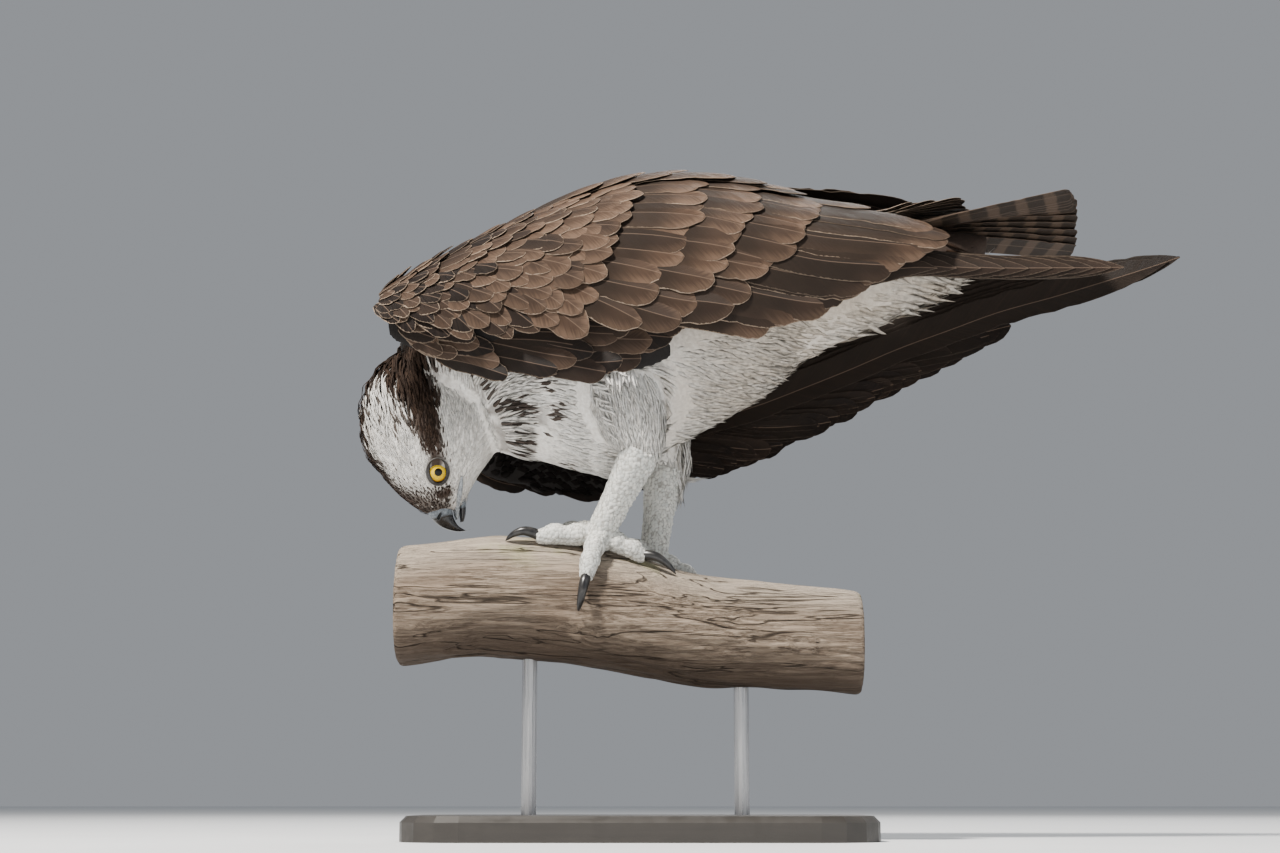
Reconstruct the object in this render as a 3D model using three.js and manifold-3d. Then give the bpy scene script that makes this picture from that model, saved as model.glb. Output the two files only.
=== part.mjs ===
// A life-size osprey bent down to feed on a short cut length of branch, carried by a plain display stand.
// Millimetres, +Z up. The bird faces -X and its left side is -Y.
// The origin is the middle of the underside of the base.
import * as THREE from "three";
import { mergeVertices } from "three/addons/utils/BufferGeometryUtils.js";
import Module from "manifold-3d";

const wasm = await Module();
wasm.setup();

// Sizes shared by several pieces
const GAP = 0.35; // left between pieces that touch
const WING_GAP = 0.8; // left between a wing and the body under it
const SLIVER = 0.08; // ripples this small, left where forms cross, are smoothed away
const BASE = { length: 300, width: 176, height: 16, corner: 40, chamfer: 4 };
const ROD = { radius: 5, places: [-72, 66] };
const V = (x, y, z) => new THREE.Vector3(x, y, z);
const degrees = THREE.MathUtils.degToRad;

// The pose: where the head hangs, how the bird stands and how its wings are folded
const HEAD_AT = V(-137, 0, 240);
const BOW = degrees(104); // how far the bill is turned down from level
const LOOK = degrees(12); // how far the crown is turned towards the bird's left
const THIGH_Y = 37; // how far out the legs stand
const TARSUS_RADII = [13, 12, 10, 9.5]; // from the heel down to the ankle
const ANKLE_HEIGHT = 12; // over the bark
const SOLE_RADIUS = 10.5;
const HAND_DROP = 5; // how far a folded hand lies inside the arm's surface

// Smooth curve through rows of [x, value, value, ...], held at its ends
function through(rows) {
  return (x) => {
    let i = 0;
    while (i < rows.length - 2 && x > rows[i + 1][0]) i++;
    const [a, b, c, d] = [-1, 0, 1, 2].map((k) => rows[THREE.MathUtils.clamp(i + k, 0, rows.length - 1)]);
    const span = c[0] - b[0];
    const s = THREE.MathUtils.clamp((x - b[0]) / span, 0, 1);
    return b.slice(1).map((p, k) => {
      const q = c[k + 1];
      const slopeIn = ((q - a[k + 1]) / (c[0] - a[0])) * span;
      const slopeOut = ((d[k + 1] - p) / (d[0] - b[0])) * span;
      const s2 = s * s;
      const s3 = s2 * s;
      const fromStart = p * (2 * s3 - 3 * s2 + 1) + slopeIn * (s3 - 2 * s2 + s);
      return fromStart + q * (3 * s2 - 2 * s3) + slopeOut * (s3 - s2);
    });
  };
}

// Closed solid of points and triangles, turned to face out
function solid(points, faces) {
  const geometry = new THREE.BufferGeometry().setFromPoints(points).setIndex(faces);
  return solidOf(geometry);
}

function solidOf(geometry) {
  const bare = geometry.clone();
  bare.deleteAttribute("normal");
  bare.deleteAttribute("uv");
  const merged = mergeVertices(bare, 1e-4);
  const vertProperties = merged.attributes.position.array;
  const triVerts = new Uint32Array(merged.index.array);
  if (new wasm.Manifold(new wasm.Mesh({ numProp: 3, vertProperties, triVerts })).volume() < 0) {
    for (let i = 0; i < triVerts.length; i += 3) {
      [triVerts[i + 1], triVerts[i + 2]] = [triVerts[i + 2], triVerts[i + 1]];
    }
  }
  return new wasm.Manifold(new wasm.Mesh({ numProp: 3, vertProperties, triVerts }));
}

// Skin drawn over rings of points, closed at each end by a fan, or by a strip where a ring is two facing rows
function loft(rings, strip = false) {
  const sides = rings[0].length;
  const points = rings.flat();
  const faces = [];
  for (let r = 0; r + 1 < rings.length; r++) {
    for (let i = 0; i < sides; i++) {
      const a = r * sides + i;
      const b = r * sides + ((i + 1) % sides);
      faces.push(a, b, b + sides, a, b + sides, a + sides);
    }
  }
  for (const [r, last] of [[0, false], [rings.length - 1, true]]) {
    if (strip) {
      for (let i = 0; i + 1 < sides / 2; i++) {
        const [a, b, c, d] = [i, i + 1, sides - 2 - i, sides - 1 - i].map((k) => r * sides + k);
        faces.push(...(last ? [a, b, c, a, c, d] : [a, c, b, a, d, c]));
      }
      continue;
    }
    const middle = rings[r].reduce((sum, p) => sum.add(p), V(0, 0, 0)).divideScalar(sides);
    const c = points.push(middle) - 1;
    for (let i = 0; i < sides; i++) {
      const a = r * sides + i;
      const b = r * sides + ((i + 1) % sides);
      faces.push(...(last ? [a, c, b].reverse() : [b, c, a].reverse()));
    }
  }
  return solid(points, faces);
}

// Even places from one end to the other, with both ends moved out by grow
function places(from, to, steps, grow = 0) {
  return Array.from({ length: steps + 1 }, (_, i) =>
    THREE.MathUtils.lerp(from, to, i / steps) + (i === steps ? grow : 0) - (i === 0 ? grow : 0));
}

// Round tube along points, each with its own radius
function tube(path, radii, sides = 8) {
  const rings = path.map((p, i) => {
    const ahead = path[Math.min(i + 1, path.length - 1)].clone().sub(path[Math.max(i - 1, 0)]).normalize();
    const side = V(0, 0, 1).cross(ahead);
    if (side.length() < 0.05) side.set(0, 1, 0);
    side.normalize();
    const up = ahead.clone().cross(side);
    return Array.from({ length: sides }, (_, k) => {
      const turn = (2 * Math.PI * k) / sides;
      const [across, upward] = [radii[i] * Math.cos(turn), radii[i] * Math.sin(turn)];
      return p.clone().addScaledVector(side, across).addScaledVector(up, upward);
    });
  });
  return loft(rings);
}

// Thin plate between two like grids of points, both faces split into the same triangles
function plate(top, bottom) {
  const [long, wide] = [top.length, top[0].length];
  const at = (i, k) => i * wide + k;
  const under = long * wide;
  const faces = [];
  for (let i = 0; i + 1 < long; i++) {
    for (let k = 0; k + 1 < wide; k++) {
      const [a, b, c, d] = [at(i, k), at(i + 1, k), at(i + 1, k + 1), at(i, k + 1)];
      faces.push(a, b, c, a, c, d);
      faces.push(under + a, under + c, under + b, under + a, under + d, under + c);
    }
  }
  const rim = [];
  for (let k = 0; k < wide; k++) rim.push(at(0, k));
  for (let i = 1; i < long; i++) rim.push(at(i, wide - 1));
  for (let k = wide - 2; k >= 0; k--) rim.push(at(long - 1, k));
  for (let i = long - 2; i > 0; i--) rim.push(at(i, 0));
  rim.forEach((a, n) => {
    const b = rim[(n + 1) % rim.length];
    faces.push(a, b, under + b, a, under + b, under + a);
  });
  return solid([...top.flat(), ...bottom.flat()], faces);
}

// Share of its length and share of its width, from a feather's root to its tip
const COVERT = [[0, 0.6], [0.5, 1], [0.84, 0.82], [1, 0.3]];
const SHORT_COVERT = [[0, 0.6], [0.62, 1], [1, 0.4]];
const QUILL = [[0, 0.45], [0.3, 0.9], [0.6, 1], [0.85, 0.85], [1, 0.25]];
const LONG_QUILL = [[0, 0.4], [0.3, 0.9], [0.62, 1], [0.9, 0.68], [1, 0.2]];
const LOCK = [[0, 1], [0.55, 0.75], [1, 0.14]];

// A feather laid along a surface from one pair of its measures to another. The root is sunk, the tip lifted,
// and the edge towards larger second measures is raised by the cant, so that neighbours overlap like tiles.
function vane({ surface, sign, from, to, width, lift = 1, sink = 2, cant = 0, thick = 0.6, shape = COVERT }) {
  const step = [to[0] - from[0], to[1] - from[1]];
  const top = [];
  const bottom = [];
  for (const [s, wide] of shape) {
    const u = from[0] + step[0] * s;
    const v = from[1] + step[1] * s;
    const tu = surface(u + 0.5, v).sub(surface(u - 0.5, v));
    const tv = surface(u, v + 0.005).sub(surface(u, v - 0.005)).multiplyScalar(100);
    const normal = tu.clone().cross(tv).normalize().multiplyScalar(sign);
    const run = tu.clone().multiplyScalar(step[0]).addScaledVector(tv, step[1]).normalize();
    const side = normal.clone().cross(run);
    const [uu, uv, vv, su, sv] = [tu.dot(tu), tu.dot(tv), tv.dot(tv), side.dot(tu), side.dot(tv)];
    const det = uu * vv - uv * uv;
    const du = (su * vv - sv * uv) / det;
    const dv = (sv * uu - su * uv) / det;
    const height = -sink + (lift + sink) * s;
    const row = [-0.5, 0.5].map((k) => {
      const across = k * wide * width;
      const raised = height + cant * k * wide * Math.sign(dv);
      return surface(u + du * across, v + dv * across).addScaledVector(normal, raised);
    });
    top.push(row);
    bottom.push(row.map((p) => p.clone().addScaledVector(normal, -thick)));
  }
  return plate(top, bottom);
}

// Seeded chance, the same on each run
let seed = 11;
function chance(low, high) {
  seed = (seed * 16807) % 2147483647;
  return low + (high - low) * (seed / 2147483647);
}

const join = (pieces) => wasm.Manifold.union(pieces);

// The largest closed surface of a solid, after a join or a cut
function main(body) {
  const bodies = body.decompose();
  return bodies.reduce((best, b) => (b.volume() > best.volume() ? b : best));
}

const group = new THREE.Group();
function add(name, body, finish) {
  const mesh = main(body).getMesh();
  const geometry = new THREE.BufferGeometry();
  geometry.setAttribute("position", new THREE.BufferAttribute(mesh.vertProperties, 3));
  geometry.setIndex(new THREE.BufferAttribute(mesh.triVerts, 1));
  geometry.computeVertexNormals();
  const piece = new THREE.Mesh(geometry, finish);
  piece.name = name;
  group.add(piece);
}

function finish(color, roughness, metalness = 0) {
  return new THREE.MeshStandardMaterial({ color, roughness, metalness });
}
const BROWN = finish(0x4b382b, 0.8);
const DARK = finish(0x1d1713, 0.75);
const WHITE = finish(0xd9d3c6, 0.85);
const SCALY = finish(0xbfc4b8, 0.7);
const HORN = finish(0x1b1c1f, 0.35);
const IRIS = finish(0xd9a010, 0.1);
const WOOD = finish(0x8c7863, 0.85);
const STAND = finish(0x2b2a28, 0.4);
const STEEL = finish(0x8a8c8f, 0.3, 0.9);

// Perch: a length of weathered branch, sawn at both ends. Rows: x, height of the middle, radius
const PERCH = through([
  [-158, 150, 40], [-105, 158, 39], [-53, 154, 40], [-13, 147, 40.5], [39, 135, 37], [79, 132, 34.5],
  [144, 127, 34],
]);
const PERCH_END = [-158, 144];
function perchRadius(x, turn) {
  const [, radius] = PERCH(x);
  return radius * (1 + 0.018 * Math.sin(3 * turn + x / 31) + 0.012 * Math.sin(5 * turn - x / 23));
}
// A point at a height over the bark, arc being the distance round from the crest towards +Y
function overPerch(x, arc, height) {
  const [middle, radius] = PERCH(x);
  const turn = arc / radius;
  const r = perchRadius(x, turn) + height;
  return V(x, r * Math.sin(turn), middle + r * Math.cos(turn));
}
function perch(grow = 0) {
  return loft(places(...PERCH_END, 11, grow).map((x) =>
    Array.from({ length: 20 }, (_, k) => overPerch(x, ((2 * Math.PI * k) / 20) * PERCH(x)[1], grow))));
}

// Stand: a chamfered base plate and two short rods
function baseRing(inset, z) {
  const { length, width, corner } = BASE;
  const ring = [];
  for (let q = 0; q < 4; q++) {
    const [sx, sy] = [[1, 1], [-1, 1], [-1, -1], [1, -1]][q];
    for (let k = 0; k <= 4; k++) {
      const turn = (q + k / 4) * (Math.PI / 2);
      ring.push(V(sx * (length / 2 - corner) + (corner - inset) * Math.cos(turn),
        sy * (width / 2 - corner) + (corner - inset) * Math.sin(turn), z));
    }
  }
  return ring;
}
const { height: TOP, chamfer: EDGE } = BASE;
add("stand_base", loft([baseRing(0, 0), baseRing(0, TOP - EDGE), baseRing(EDGE, TOP)]), STAND);
add("stand_perch", perch(), WOOD);
ROD.places.forEach((x, i) => {
  const rod = tube([V(x, 0, TOP + GAP), V(x, 0, PERCH(x)[0])], [ROD.radius, ROD.radius], 14);
  add(`stand_rod_${i + 1}`, rod.subtract(perch(GAP)), STEEL);
});

// Torso. Rows: x, top, bottom, half width
const TORSO = through([
  [-126, 356, 300, 18], [-116, 375, 272, 36], [-95, 394, 251, 50], [-70, 409, 245, 57], [-40, 421, 237, 60],
  [-12, 430, 233, 60], [15, 434, 250, 58], [45, 433, 266, 53], [75, 428, 284, 46], [105, 422, 309, 40],
  [135, 418, 325, 34], [165, 414, 339, 29], [190, 411, 352, 25], [215, 408, 369, 21], [238, 405, 389, 14],
]);
const TORSO_END = [-126, 238];
const TAIL_FROM = 168;
function torsoRing(x, grow = 0, sides = 18) {
  const [top, bottom, half] = TORSO(x);
  const tall = (top - bottom) / 2 + grow;
  return Array.from({ length: sides }, (_, k) => {
    const turn = (2 * Math.PI * k) / sides;
    const low = 1 + 0.12 * Math.min(0, Math.cos(turn)); // the belly narrows downwards
    return V(x, (half + grow) * Math.sin(turn) * low, (top + bottom) / 2 + tall * Math.cos(turn));
  });
}
function torso(from, to, grow = 0) {
  return loft(places(from, to, Math.round((to - from) / 28), grow).map((x) => torsoRing(x, grow)));
}

// Head, in its own frame: ahead towards the bill, up towards the crown, side towards the bird's right
const turned = (v) => v.applyAxisAngle(V(0, 0, 1), LOOK);
const AHEAD = turned(V(-Math.cos(BOW), 0, -Math.sin(BOW)));
const CROWN = turned(V(-Math.sin(BOW), 0, Math.cos(BOW)));
const SIDE = turned(V(0, 1, 0));
const inHead = (a, u, s) =>
  HEAD_AT.clone().addScaledVector(AHEAD, a).addScaledVector(CROWN, u).addScaledVector(SIDE, s);

// Rows: distance ahead of the eyes, crown, throat, half width
const HEAD = through([
  [-76, 2, -34, 16], [-68, 20, -46, 26], [-54, 34, -54, 33], [-38, 41, -57, 37], [-20, 41, -54, 36.5],
  [-4, 35, -44, 31], [8, 28.5, -31, 24.5], [18, 21, -22, 18], [25, 14, -17, 12.5], [29, 9, -13, 9],
]);
const HEAD_END = [-76, 29];
function headRing(a, grow = 0, sides = 18) {
  const [crown, throat, half] = HEAD(a);
  const tall = (crown - throat) / 2 + grow;
  return Array.from({ length: sides }, (_, k) => {
    const turn = (2 * Math.PI * k) / sides;
    return inHead(a, (crown + throat) / 2 + tall * Math.cos(turn), (half + grow) * Math.sin(turn));
  });
}
function head(grow = 0) {
  return loft(places(...HEAD_END, 10, grow).map((a) => headRing(a, grow)));
}

// Eye: a ball set in the side of the head, behind a raised rim of lid
const EYE = { ahead: 3, up: 1, out: 18.5, radius: 9 };
const LID = { radius: 7.6, thick: 1.5, out: 24.6 };
const eyeAt = (side, out = EYE.out) => inHead(EYE.ahead, EYE.up, side * out);
function ball(centre, radius, detail = 6) {
  return solidOf(new THREE.SphereGeometry(radius, detail * 2, detail).translate(...centre));
}
function lid(side) {
  const steps = 10;
  const outward = SIDE.clone().multiplyScalar(side);
  const rings = Array.from({ length: steps }, (_, i) => {
    const turn = (2 * Math.PI * i) / steps;
    const out = AHEAD.clone().multiplyScalar(Math.cos(turn)).addScaledVector(CROWN, Math.sin(turn));
    const middle = eyeAt(side, LID.out).addScaledVector(out, LID.radius);
    return Array.from({ length: 4 }, (_, k) => {
      const around = (2 * Math.PI * k) / 4;
      return middle.clone().addScaledVector(out, LID.thick * Math.cos(around))
        .addScaledVector(outward, LID.thick * Math.sin(around));
    });
  });
  const points = rings.flat();
  const faces = [];
  rings.forEach((_, r) => {
    for (let k = 0; k < 4; k++) {
      const a = r * 4 + k;
      const b = r * 4 + ((k + 1) % 4);
      const c = ((r + 1) % steps) * 4 + k;
      const d = ((r + 1) % steps) * 4 + ((k + 1) % 4);
      faces.push(a, b, d, a, d, c);
    }
  });
  return solid(points, faces);
}

// Bill: upper half with its hook, lower half under it. Rows: ahead, up, half height, half width
function bill(rows, grow = 0) {
  return loft(rows.map(([a, u, tall, half]) => Array.from({ length: 10 }, (_, k) => {
    const turn = (2 * Math.PI * k) / 10;
    return inHead(a, u + (tall + grow) * Math.cos(turn), (half + grow) * Math.sin(turn));
  })));
}
const BILL_UPPER = [
  [22, 1, 9, 8.5], [29, 0.6, 8, 7.6], [34, -1, 6.6, 6], [38, -3.6, 5, 4.6], [41, -7.4, 3.6, 3.4],
  [42.4, -11, 2.4, 2.2], [42.2, -14.6, 1, 0.8],
];
const BILL_LOWER = [[14, -14.6, 4, 7.6], [24, -13.2, 3.4, 6.6], [31, -12, 2.8, 5], [36, -10.8, 1.8, 3]];

// Neck: from the back of the head into the front of the torso. Rows: share, x, z, half width, half height
const NECK = through([
  [0, -150, 292, 30, 26], [0.3, -128, 308, 38, 38], [0.65, -106, 316, 46, 50], [1, -84, 322, 50, 56],
]);
function neck(grow = 0) {
  return loft(Array.from({ length: 7 }, (_, i) => {
    const [x, z, half, tall] = NECK(i / 6);
    return Array.from({ length: 18 }, (_, k) => {
      const turn = (2 * Math.PI * k) / 18;
      const slant = 0.35 * tall * Math.cos(turn);
      return V(x - slant, (half + grow) * Math.sin(turn), z + (tall + grow) * Math.cos(turn));
    });
  }));
}

// Wings. Rows: x, then y and z of the upper edge, of the bulge and of the lower edge; y is the distance out
const WINGS = {
  left: {
    sign: -1,
    arc: through([
      [-172, 54, 350, 64, 346, 66, 332], [-164, 46, 357, 76, 352, 72, 318], [-140, 36, 374, 88, 362, 72, 305],
      [-110, 26, 393, 92, 375, 72, 297], [-80, 18, 410, 95, 386, 72, 292], [-50, 12, 424, 97, 395, 72, 290],
      [-15, 8, 436, 97, 404, 71, 292], [15, 6, 441, 95, 408, 70, 299], [45, 6, 440, 90, 406, 68, 312],
      [80, 8, 433, 86, 401, 66, 322], [115, 12, 423, 80, 396, 62, 332], [150, 18, 415, 72, 392, 57, 346],
      [180, 26, 407, 64, 388, 52, 356], [212, 34, 397, 56, 382, 48, 358], [245, 38, 391, 51, 378, 47, 360],
      [280, 40, 388, 48, 376, 46, 363], [318, 42, 386, 46, 375, 45, 363],
    ]),
  },
  right: {
    sign: 1,
    arc: through([
      [-176, 54, 350, 66, 346, 68, 332], [-166, 46, 358, 80, 350, 76, 306], [-146, 36, 373, 92, 354, 80, 276],
      [-110, 26, 393, 100, 363, 84, 248], [-80, 18, 410, 102, 373, 86, 241],
      [-46, 12, 424, 103, 382, 87, 238],
      [-15, 8, 436, 103, 390, 87, 239], [17, 6, 442, 101, 394, 86, 245], [50, 6, 442, 96, 394, 84, 252],
      [80, 8, 437, 92, 391, 80, 258], [115, 12, 436, 88, 388, 76, 271], [150, 18, 434, 82, 386, 71, 286],
      [180, 26, 430, 74, 384, 66, 302], [212, 36, 416, 64, 382, 61, 319], [250, 40, 406, 58, 383, 56, 339],
      [290, 42, 403, 53, 385, 50, 353], [330, 42, 403, 48, 389, 45, 369], [378, 41, 407, 43, 397, 40, 387],
    ]),
  },
};
function wingPoint(wing, x, t) {
  const [ty, tz, my, mz, ly, lz] = wing.arc(x);
  const mix = (a, b, c) => (1 - t) ** 2 * a + 2 * t * (1 - t) * b + t * t * c;
  return V(x, wing.sign * mix(ty, my, ly), mix(tz, mz, lz));
}
// Surface normal by small steps, facing away from the body
function normalOf(surface, u, v, sign) {
  const [du, dv] = [0.5, 0.01];
  const along = surface(u + du, v).sub(surface(u - du, v));
  const across = surface(u, v + dv).sub(surface(u, v - dv));
  return along.cross(across).normalize().multiplyScalar(sign);
}
// Core of an arm or a hand: a shell under the wing's surface between two shares of its arc
const ARM = { from: -172, to: 60, arc: [0, 0.76], thick: 15, drop: 0 };
const HAND = { from: -170, to: 22, arc: [0.75, 1], thick: 8, drop: HAND_DROP };
function wingCore(wing, { from, to, arc: [t0, t1], thick, drop }, grow = 0) {
  const surface = (x, t) => wingPoint(wing, x, t);
  const across = 6;
  const rings = places(from, to, Math.round((to - from) / 25), grow).map((x, i, all) => {
    const s = i / (all.length - 1);
    const deep = thick * Math.sqrt(Math.max(0.02, Math.sin(Math.PI * Math.min(1, 0.04 + 0.93 * s))));
    const wider = grow / 120;
    const outer = [];
    const inner = [];
    for (let k = 0; k <= across; k++) {
      const t = THREE.MathUtils.lerp(t0 - wider, t1 + wider, k / across);
      const n = normalOf(surface, x, t, wing.sign);
      const edge = 0.25 + 0.75 * Math.sin((Math.PI * k) / across);
      outer.push(surface(x, t).addScaledVector(n, grow - drop));
      inner.unshift(surface(x, t).addScaledVector(n, -deep * edge - grow - drop));
    }
    return [...outer, ...inner];
  });
  return loft(rings, true);
}

// Legs. The left foot stands ahead of the right. Thigh rows: share down, x, z, half length, half width
const LEGS = {
  left: { sign: -1, foot: [-26, -17], shift: 0, lift: 0, inner: -0.6 },
  right: { sign: 1, foot: [9, 19], shift: 15, lift: -4, inner: -0.2 },
};
const THIGH = through([
  [0, -16, 312, 34, 21], [0.35, -13, 286, 33, 24], [0.7, -6, 262, 25, 18], [1, 1, 246, 14.5, 13],
]);
function thigh(leg, grow = 0) {
  return loft(Array.from({ length: 7 }, (_, i) => {
    const [x, z, long, half] = THIGH(i / 6);
    return Array.from({ length: 14 }, (_, k) => {
      const turn = (2 * Math.PI * k) / 14;
      const ahead = leg.shift + (long + grow) * Math.cos(turn);
      const out = leg.sign * THIGH_Y + (half + grow) * Math.sin(turn);
      return V(x + ahead, out, z + leg.lift - (i === 6 ? grow : 0));
    });
  }));
}
function heel(leg) {
  return V(1 + leg.shift, leg.sign * THIGH_Y, 250 + leg.lift);
}
function ankle(leg) {
  const [x, arc] = leg.foot;
  return overPerch(x, arc, ANKLE_HEIGHT);
}
function tarsus(leg, grow = 0) {
  const [top, low] = [heel(leg), ankle(leg)];
  const path = [0, 0.25, 0.6, 1].map((s) => top.clone().lerp(low, s));
  return tube(path, TARSUS_RADII.map((r) => r + grow), 10);
}
// Toes, by the way they point along and round the perch, their length and their girth
const TOES = [
  { name: "middle", along: -1, round: 0.1, long: 42, girth: 6.6 },
  { name: "inner", along: -0.8, long: 35, girth: 6.4 },
  { name: "outer", along: -0.25, round: 1, long: 36, girth: 6.2 },
  { name: "hind", along: 1, round: 0.12, long: 30, girth: 6.2 },
];
// A point along a toe, at a height over the bark; round is towards the outer side of the foot
function toePoint(leg, toe, distance, height) {
  const [x, arc] = leg.foot;
  const round = toe.round ?? leg.inner;
  const scale = 1 / Math.hypot(toe.along, round);
  return overPerch(x + toe.along * scale * distance, arc + leg.sign * round * scale * distance, height);
}
function toeSolid(leg, toe, grow = 0) {
  const { long, girth } = toe;
  const steps = [[0, 9, 1.05], [0.3, 8.5, 1.1], [0.62, 7, 1], [0.9, 5, 0.88], [1, 4.4, 0.6]];
  const path = steps.map(([s, height]) => toePoint(leg, toe, s * long, height));
  return tube(path, steps.map(([, , r]) => r * girth + grow), 7);
}
function claw(leg, toe) {
  const steps = [[-3, 5, 3], [5, 7.6, 3], [12, 6.6, 2.4], [17.5, 3.4, 1.5], [20, 0.9, 0.45]];
  const path = steps.map(([beyond, height]) => toePoint(leg, toe, toe.long + beyond, height));
  return tube(path, steps.map(([, , r]) => r), 6);
}
// The four toes and the ball of the foot, over the bark
function footSolid(leg, grow = 0) {
  const sole = ball(ankle(leg).add(V(0, 0, -2)), SOLE_RADIUS + grow);
  return join([sole, ...TOES.map((toe) => toeSolid(leg, toe, grow))]);
}
for (const [side, leg] of Object.entries(LEGS)) {
  const ground = perch(GAP);
  const shank = tarsus(leg).subtract(footSolid(leg, GAP));
  add(`foot_${side}`, footSolid(leg).subtract(ground), SCALY);
  TOES.forEach((toe) => {
    const grown = join([toeSolid(leg, toe, GAP), ground]);
    add(`claw_${side}_${toe.name}`, claw(leg, toe).subtract(grown), HORN);
  });
  add(`tarsus_${side}`, shank.subtract(thigh(leg, GAP)), SCALY);
}

// Wing feathers, row by row: how many, place along and share of the arc of the first and last root and of the
// first and last tip, width, and lift of the tips
const ARM_ROWS = [
  { count: 3, root: [[-166, 0.4], [-168, 0.66]], tip: [[-128, 0.5], [-132, 0.8]],
    width: 22, lift: 4.6, shape: SHORT_COVERT },
  { count: 4, root: [[-146, 0.12], [-152, 0.66]], tip: [[-106, 0.2], [-112, 0.8]],
    width: 31, lift: 4.6, shape: SHORT_COVERT },
  { count: 4, root: [[-120, 0.1], [-130, 0.66]], tip: [[-78, 0.18], [-86, 0.81]],
    width: 32, lift: 4.6, shape: SHORT_COVERT },
  { count: 4, root: [[-90, 0.08], [-106, 0.66]], tip: [[-44, 0.17], [-54, 0.82]], width: 37, lift: 4.8 },
  { count: 5, root: [[-50, 0.08], [-80, 0.67]], tip: [[8, 0.17], [-18, 0.84]], width: 33, lift: 4.8 },
  { count: 5, root: [[30, 0.07], [-62, 0.68]], tip: [[118, 0.12], [14, 0.88]], width: 33, lift: 4, bow: 22 },
  { count: 6, root: [[46, 0.38], [-24, 0.72]], tip: [[213, 0.46], [100, 1.0]],
    width: 21, lift: 0.6, sink: 1.2, cant: 3.2, shape: QUILL, bow: 20 },
  { count: 3, root: [[38, 0.08], [44, 0.26]], tip: [[172, 0.08], [211, 0.34]],
    width: 26, lift: 2.2, shape: QUILL },
  { count: 3, root: [[-66, 0.07], [36, 0.07]], tip: [[-4, 0.14], [104, 0.12]], width: 38, lift: 7, sink: 1 },
];
// The right wing is folded less tightly, so the tips of its inner flight feathers hang below its coverts
const HANGING_ROWS = {
  left: [],
  right: [
    { count: 4, root: [[30, 0.6], [-14, 0.73]], tip: [[208, 0.88], [112, 0.99]],
      width: 26, lift: -1, sink: 4, cant: 1.5, shape: QUILL },
  ],
};
const HAND_ROWS = [
  { count: 3, root: [[-164, 0.86], [-158, 0.97]], tip: [[-108, 0.88], [-104, 0.98]],
    width: 13, lift: 1, cant: 0.8, shape: SHORT_COVERT },
  { count: 5, root: [[-30, 0.84], [-128, 0.9]], tip: [[38, 0.9], [-52, 0.98]],
    width: 25, lift: 0.6, cant: 1.2, shape: SHORT_COVERT },
];
const PRIMARIES = {
  left: { tips: [205, 234, 258, 280, 299, 312, 320], arc: [0.82, 0.52], width: 21 },
  right: { tips: [238, 268, 296, 322, 346, 374, 366], arc: [0.3, 0.66], width: 29 },
};
const mix = (a, b, s) => a.map((value, i) => THREE.MathUtils.lerp(value, b[i], s));
function feathers(surface, sign, rows) {
  return rows.flatMap(({ count, root, tip, bow = 0, cant = 2.8, ...rest }) =>
    Array.from({ length: count }, (_, k) => {
      const s = k / (count - 1);
      const from = mix(...root, s);
      const to = mix(...tip, s);
      from[0] += chance(-2, 2);
      to[0] += chance(-3, 3) + bow * Math.sin(Math.PI * s);
      return vane({ surface, sign, from, to, cant, ...rest });
    }));
}
function handSurface(wing, drop) {
  const surface = (x, t) => wingPoint(wing, x, t);
  return (x, t) => surface(x, t).addScaledVector(normalOf(surface, x, t, wing.sign), -drop);
}
function primaries(side, wing) {
  const surface = handSurface(wing, HAND_DROP);
  const { tips, arc, width } = PRIMARIES[side];
  return tips.map((x, k) => {
    const s = k / (tips.length - 1);
    return vane({
      surface, sign: wing.sign, from: [10 - 76 * s, 0.83 + 0.1 * s], to: [x, THREE.MathUtils.lerp(...arc, s)],
      width, lift: -0.5 - 1.25 * k, sink: 2 + 0.6 * k, thick: 0.7, shape: LONG_QUILL,
    });
  });
}

// Tail: twelve quills fanned over a flat sheet, rolled a little to the left, with coverts above and below
const TAIL = through([[168, 15, 414, 1], [200, 25, 415, 4], [240, 35, 417, 6.5], [300, 48, 418, 10.5]]);
function tailPoint(x, v) {
  const [half, z, roll] = TAIL(x);
  return V(x, v * half, z - roll * v - 2 * v * v);
}
function tailFeathers() {
  const quills = Array.from({ length: 12 }, (_, k) => {
    const v = (k - 5.5) / 6;
    const rank = Math.floor(Math.abs(k - 5.5)) + (v > 0 ? 0.5 : 0);
    return vane({
      surface: tailPoint, sign: 1, from: [178, v * 0.7],
      to: [297 - 0.6 * rank + 9 * v + chance(-1.5, 1.5), v * 0.98],
      width: 20, lift: 1.6 - 1.3 * rank, sink: 4.5 + 1.3 * rank, thick: 0.6,
    });
  });
  const over = Array.from({ length: 3 }, (_, k) => {
    const v = (k - 1) / 1.5;
    return vane({
      surface: tailPoint, sign: 1, from: [180, v * 0.6], to: [234 + chance(-4, 4) - 8 * Math.abs(v), v * 0.8],
      width: 26, lift: 5.2 - 1.6 * (k % 2), sink: 2.6 + 1.2 * (k % 2), thick: 0.6,
    });
  });
  const under = Array.from({ length: 4 }, (_, k) => {
    const v = (k - 1.5) / 2.1;
    const drop = (x, w) => 6 + 0.28 * Math.max(0, 262 - x) * (1 - w * w * 0.6);
    const surface = (x, w) => tailPoint(x, w).add(V(0, 0, -drop(x, w)));
    return vane({
      surface, sign: -1, from: [196, v * 0.7], to: [262 + chance(-5, 5) - 14 * Math.abs(v), v * 0.7],
      width: 26, lift: 2.5 - 1.3 * (k % 2), sink: 3.5 + (k % 2), thick: 0.7,
    });
  });
  return [...quills, ...over, ...under];
}

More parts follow.
